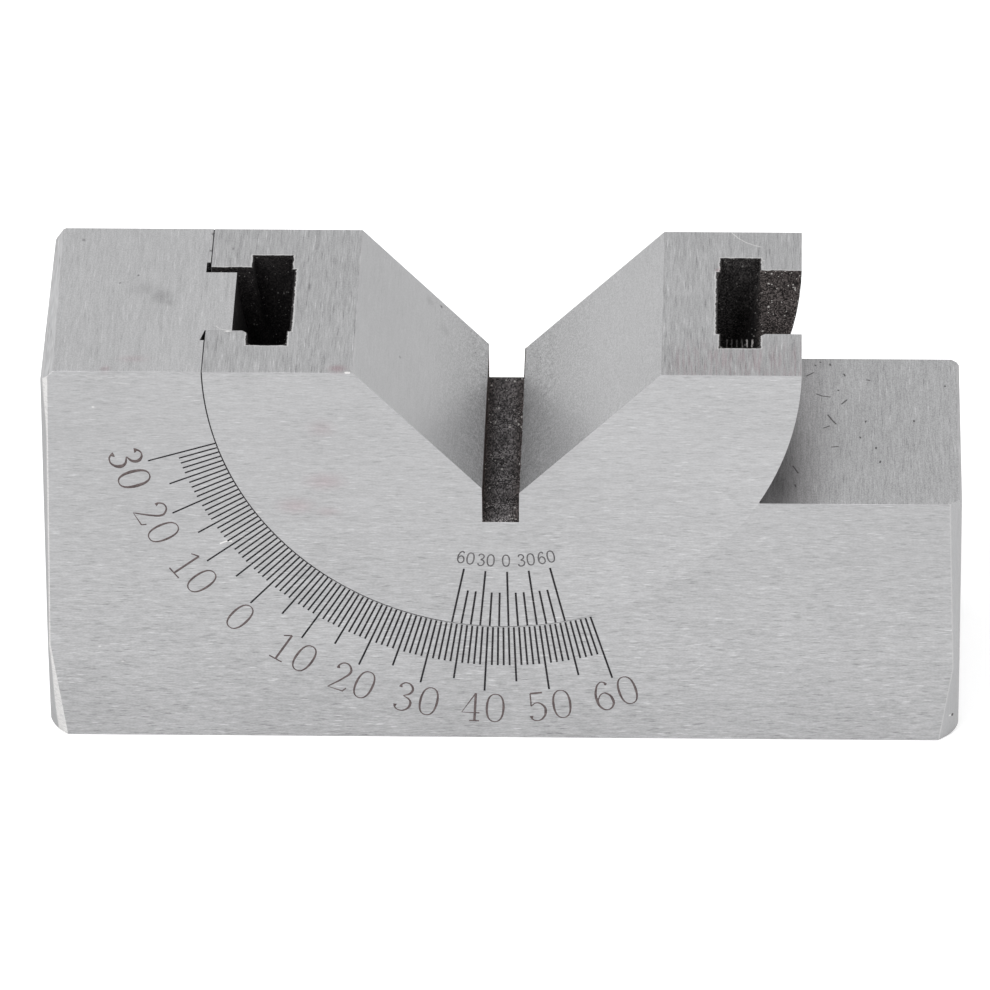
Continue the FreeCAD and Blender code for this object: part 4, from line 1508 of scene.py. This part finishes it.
@dataclass
class Studio:
    """Camera, lamps, white surroundings and floor.

    The camera's place is in millimetres and its focal length in pixels; lamps and floor are in metres.
    """

    azimuth: float = 1.56
    elevation: float = 30.24
    roll: float = -0.40
    distance: float = 1256.24
    target: Point = (-1.23, 0.0, 21.51)
    focal_pixels: float = 11381.53
    frame_pixels: float = 990.0
    sensor_width: float = 36.0
    lamp_aim: Point = (0.0, 0.0, 0.02)
    room_light: float = 0.55
    floor_colour: Colour = (0.9, 0.9, 0.9)
    floor_glow: float = 0.42
    floor_reach: float = 6.0
    floor_drop: float = 0.0001

    def camera(self) -> None:
        """Makes the camera at the photograph's angle."""
        azimuth, elevation, roll = (math.radians(v) for v in (self.azimuth, self.elevation, self.roll))
        level = math.cos(elevation)
        back = Vector((math.sin(azimuth) * level, -math.cos(azimuth) * level, math.sin(elevation)))
        right = (-back).cross(Vector((0.0, 0.0, 1.0))).normalized()
        up = right.cross(-back)
        turned_right = right * math.cos(roll) + up * math.sin(roll)
        turned_up = up * math.cos(roll) - right * math.sin(roll)
        place = (Vector(self.target) + back * self.distance) * MM
        data = bpy.data.cameras.new("camera")
        data.sensor_width = self.sensor_width
        data.lens = self.sensor_width * self.focal_pixels / self.frame_pixels
        data.clip_start, data.clip_end = 0.05, 20.0
        data.dof.use_dof = False
        camera = bpy.data.objects.new("camera", data)
        turn = Matrix((turned_right, turned_up, back)).transposed().to_4x4()
        camera.matrix_world = Matrix.Translation(place) @ turn
        bpy.context.scene.collection.objects.link(camera)
        bpy.context.scene.camera = camera

    def lamp(self, name: str, place: Point, power: float, width: float) -> None:
        """Adds one soft square lamp, aimed at the block.

        Args:
            name: The lamp's name.
            place: Where it stands, in metres.
            power: Its power in watts.
            width: Its side in metres.
        """
        data = bpy.data.lights.new(name, "AREA")
        data.shape = "SQUARE"
        data.size = width
        data.energy = power
        lamp = bpy.data.objects.new(name, data)
        lamp.location = place
        lamp.rotation_euler = (Vector(self.lamp_aim) - Vector(place)).to_track_quat("-Z", "Y").to_euler()
        bpy.context.scene.collection.objects.link(lamp)

    def surroundings(self) -> None:
        """Makes the world: white behind the block and in its reflections, softer as a light."""
        world = bpy.data.worlds.new("white_room")
        world.use_nodes = True
        graph = Graph(world.node_tree)
        rays = graph.named("ShaderNodeLightPath")
        soft, white = (
            graph.wired("ShaderNodeBackground", 0, {"Color": WHITE, "Strength": strength})
            for strength in (self.room_light, 1.0)
        )
        seen = graph.largest(rays["Is Camera Ray"], rays["Is Glossy Ray"], rays["Is Transmission Ray"])
        both = graph.wired("ShaderNodeMixShader", 0, {0: seen, 1: soft, 2: white})
        graph.node("ShaderNodeOutputWorld", {"Surface": both})
        bpy.context.scene.world = world

    def floor(self) -> None:
        """Makes the plain pale floor, which the camera sees a little brighter than its paint."""
        material = bpy.data.materials.new("floor_paint")
        material.use_nodes = True
        graph = Graph(material.node_tree)
        paint = graph.wired("ShaderNodeBsdfDiffuse", 0, {"Color": self.floor_colour})
        strength = graph.named("ShaderNodeLightPath")["Is Camera Ray"] * self.floor_glow
        glow = graph.wired("ShaderNodeEmission", 0, {"Color": WHITE, "Strength": strength})
        both = graph.wired("ShaderNodeAddShader", 0, {0: paint, 1: glow})
        graph.node("ShaderNodeOutputMaterial", {"Surface": both})
        work = bmesh.new()
        drop = Matrix.Translation((0.0, 0.0, -self.floor_drop))
        bmesh.ops.create_grid(work, x_segments=2, y_segments=2, size=self.floor_reach, matrix=drop)
        make_object("floor", work, material)


def dress_node(node: str, material: bpy.types.Material) -> None:
    """Gives a CAD node that stays shown its finish.

    Args:
        node: The node's name.
        material: Its finish.
    """
    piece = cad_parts[node]
    piece.data.materials.clear()
    piece.data.materials.append(material)
    LOG.info("%s: CAD node with a finish", node)


def main() -> None:
    """Builds the looks in order."""
    logging.basicConfig(level=logging.INFO, format="%(name)s: %(message)s")
    bpy.context.scene.view_settings.view_transform = "Standard"
    effects = Effects()
    studio = Studio()
    studio.camera()
    studio.lamp("key", (-0.75, -0.85, 1.15), 16.0, 1.1)
    studio.lamp("fill", (1.0, -0.7, 0.9), 6.0, 0.9)
    studio.surroundings()
    studio.floor()

    base, saddle = BaseBlock(), VSaddle()
    base_steel = GroundSteel("ground_steel_base").build(effects, base)
    base.dress(base_steel)
    SEAT_BURR.build(base_steel)
    RibBurr().build(base_steel)
    saddle.dress(GroundSteel("ground_steel_saddle").build(effects, saddle))
    oxide = OxidisedSteel("black_oxide").build(effects)
    for node in ("clamp_shoe", "clamp_screw"):
        dress_node(node, oxide)

    line = LaserMark(
        "engraved_line_and_gap_shade", (0.011, 0.010, 0.012), (0.032, 0.029, 0.032), metallic=0.0, gloss=0.2, worn=0.25
    ).build(effects)
    # the engraving's black also paints shade in the seat's gap
    for ring in SEAT_GAP_SHADE:
        ring.build(line)
    brown = LaserMark("engraved_figure", (0.075, 0.056, 0.056), (0.150, 0.120, 0.118)).build(effects)
    grey = LaserMark("engraved_small_figure", (0.080, 0.077, 0.080), (0.17, 0.165, 0.168)).build(effects)
    for engraving, figure in ((DegreeScale().engraving(), brown), (Vernier().engraving(), grey)):
        engraving.cut_lines(line)
        engraving.cut_numerals(figure)


if __name__ == "__main__":
    main()
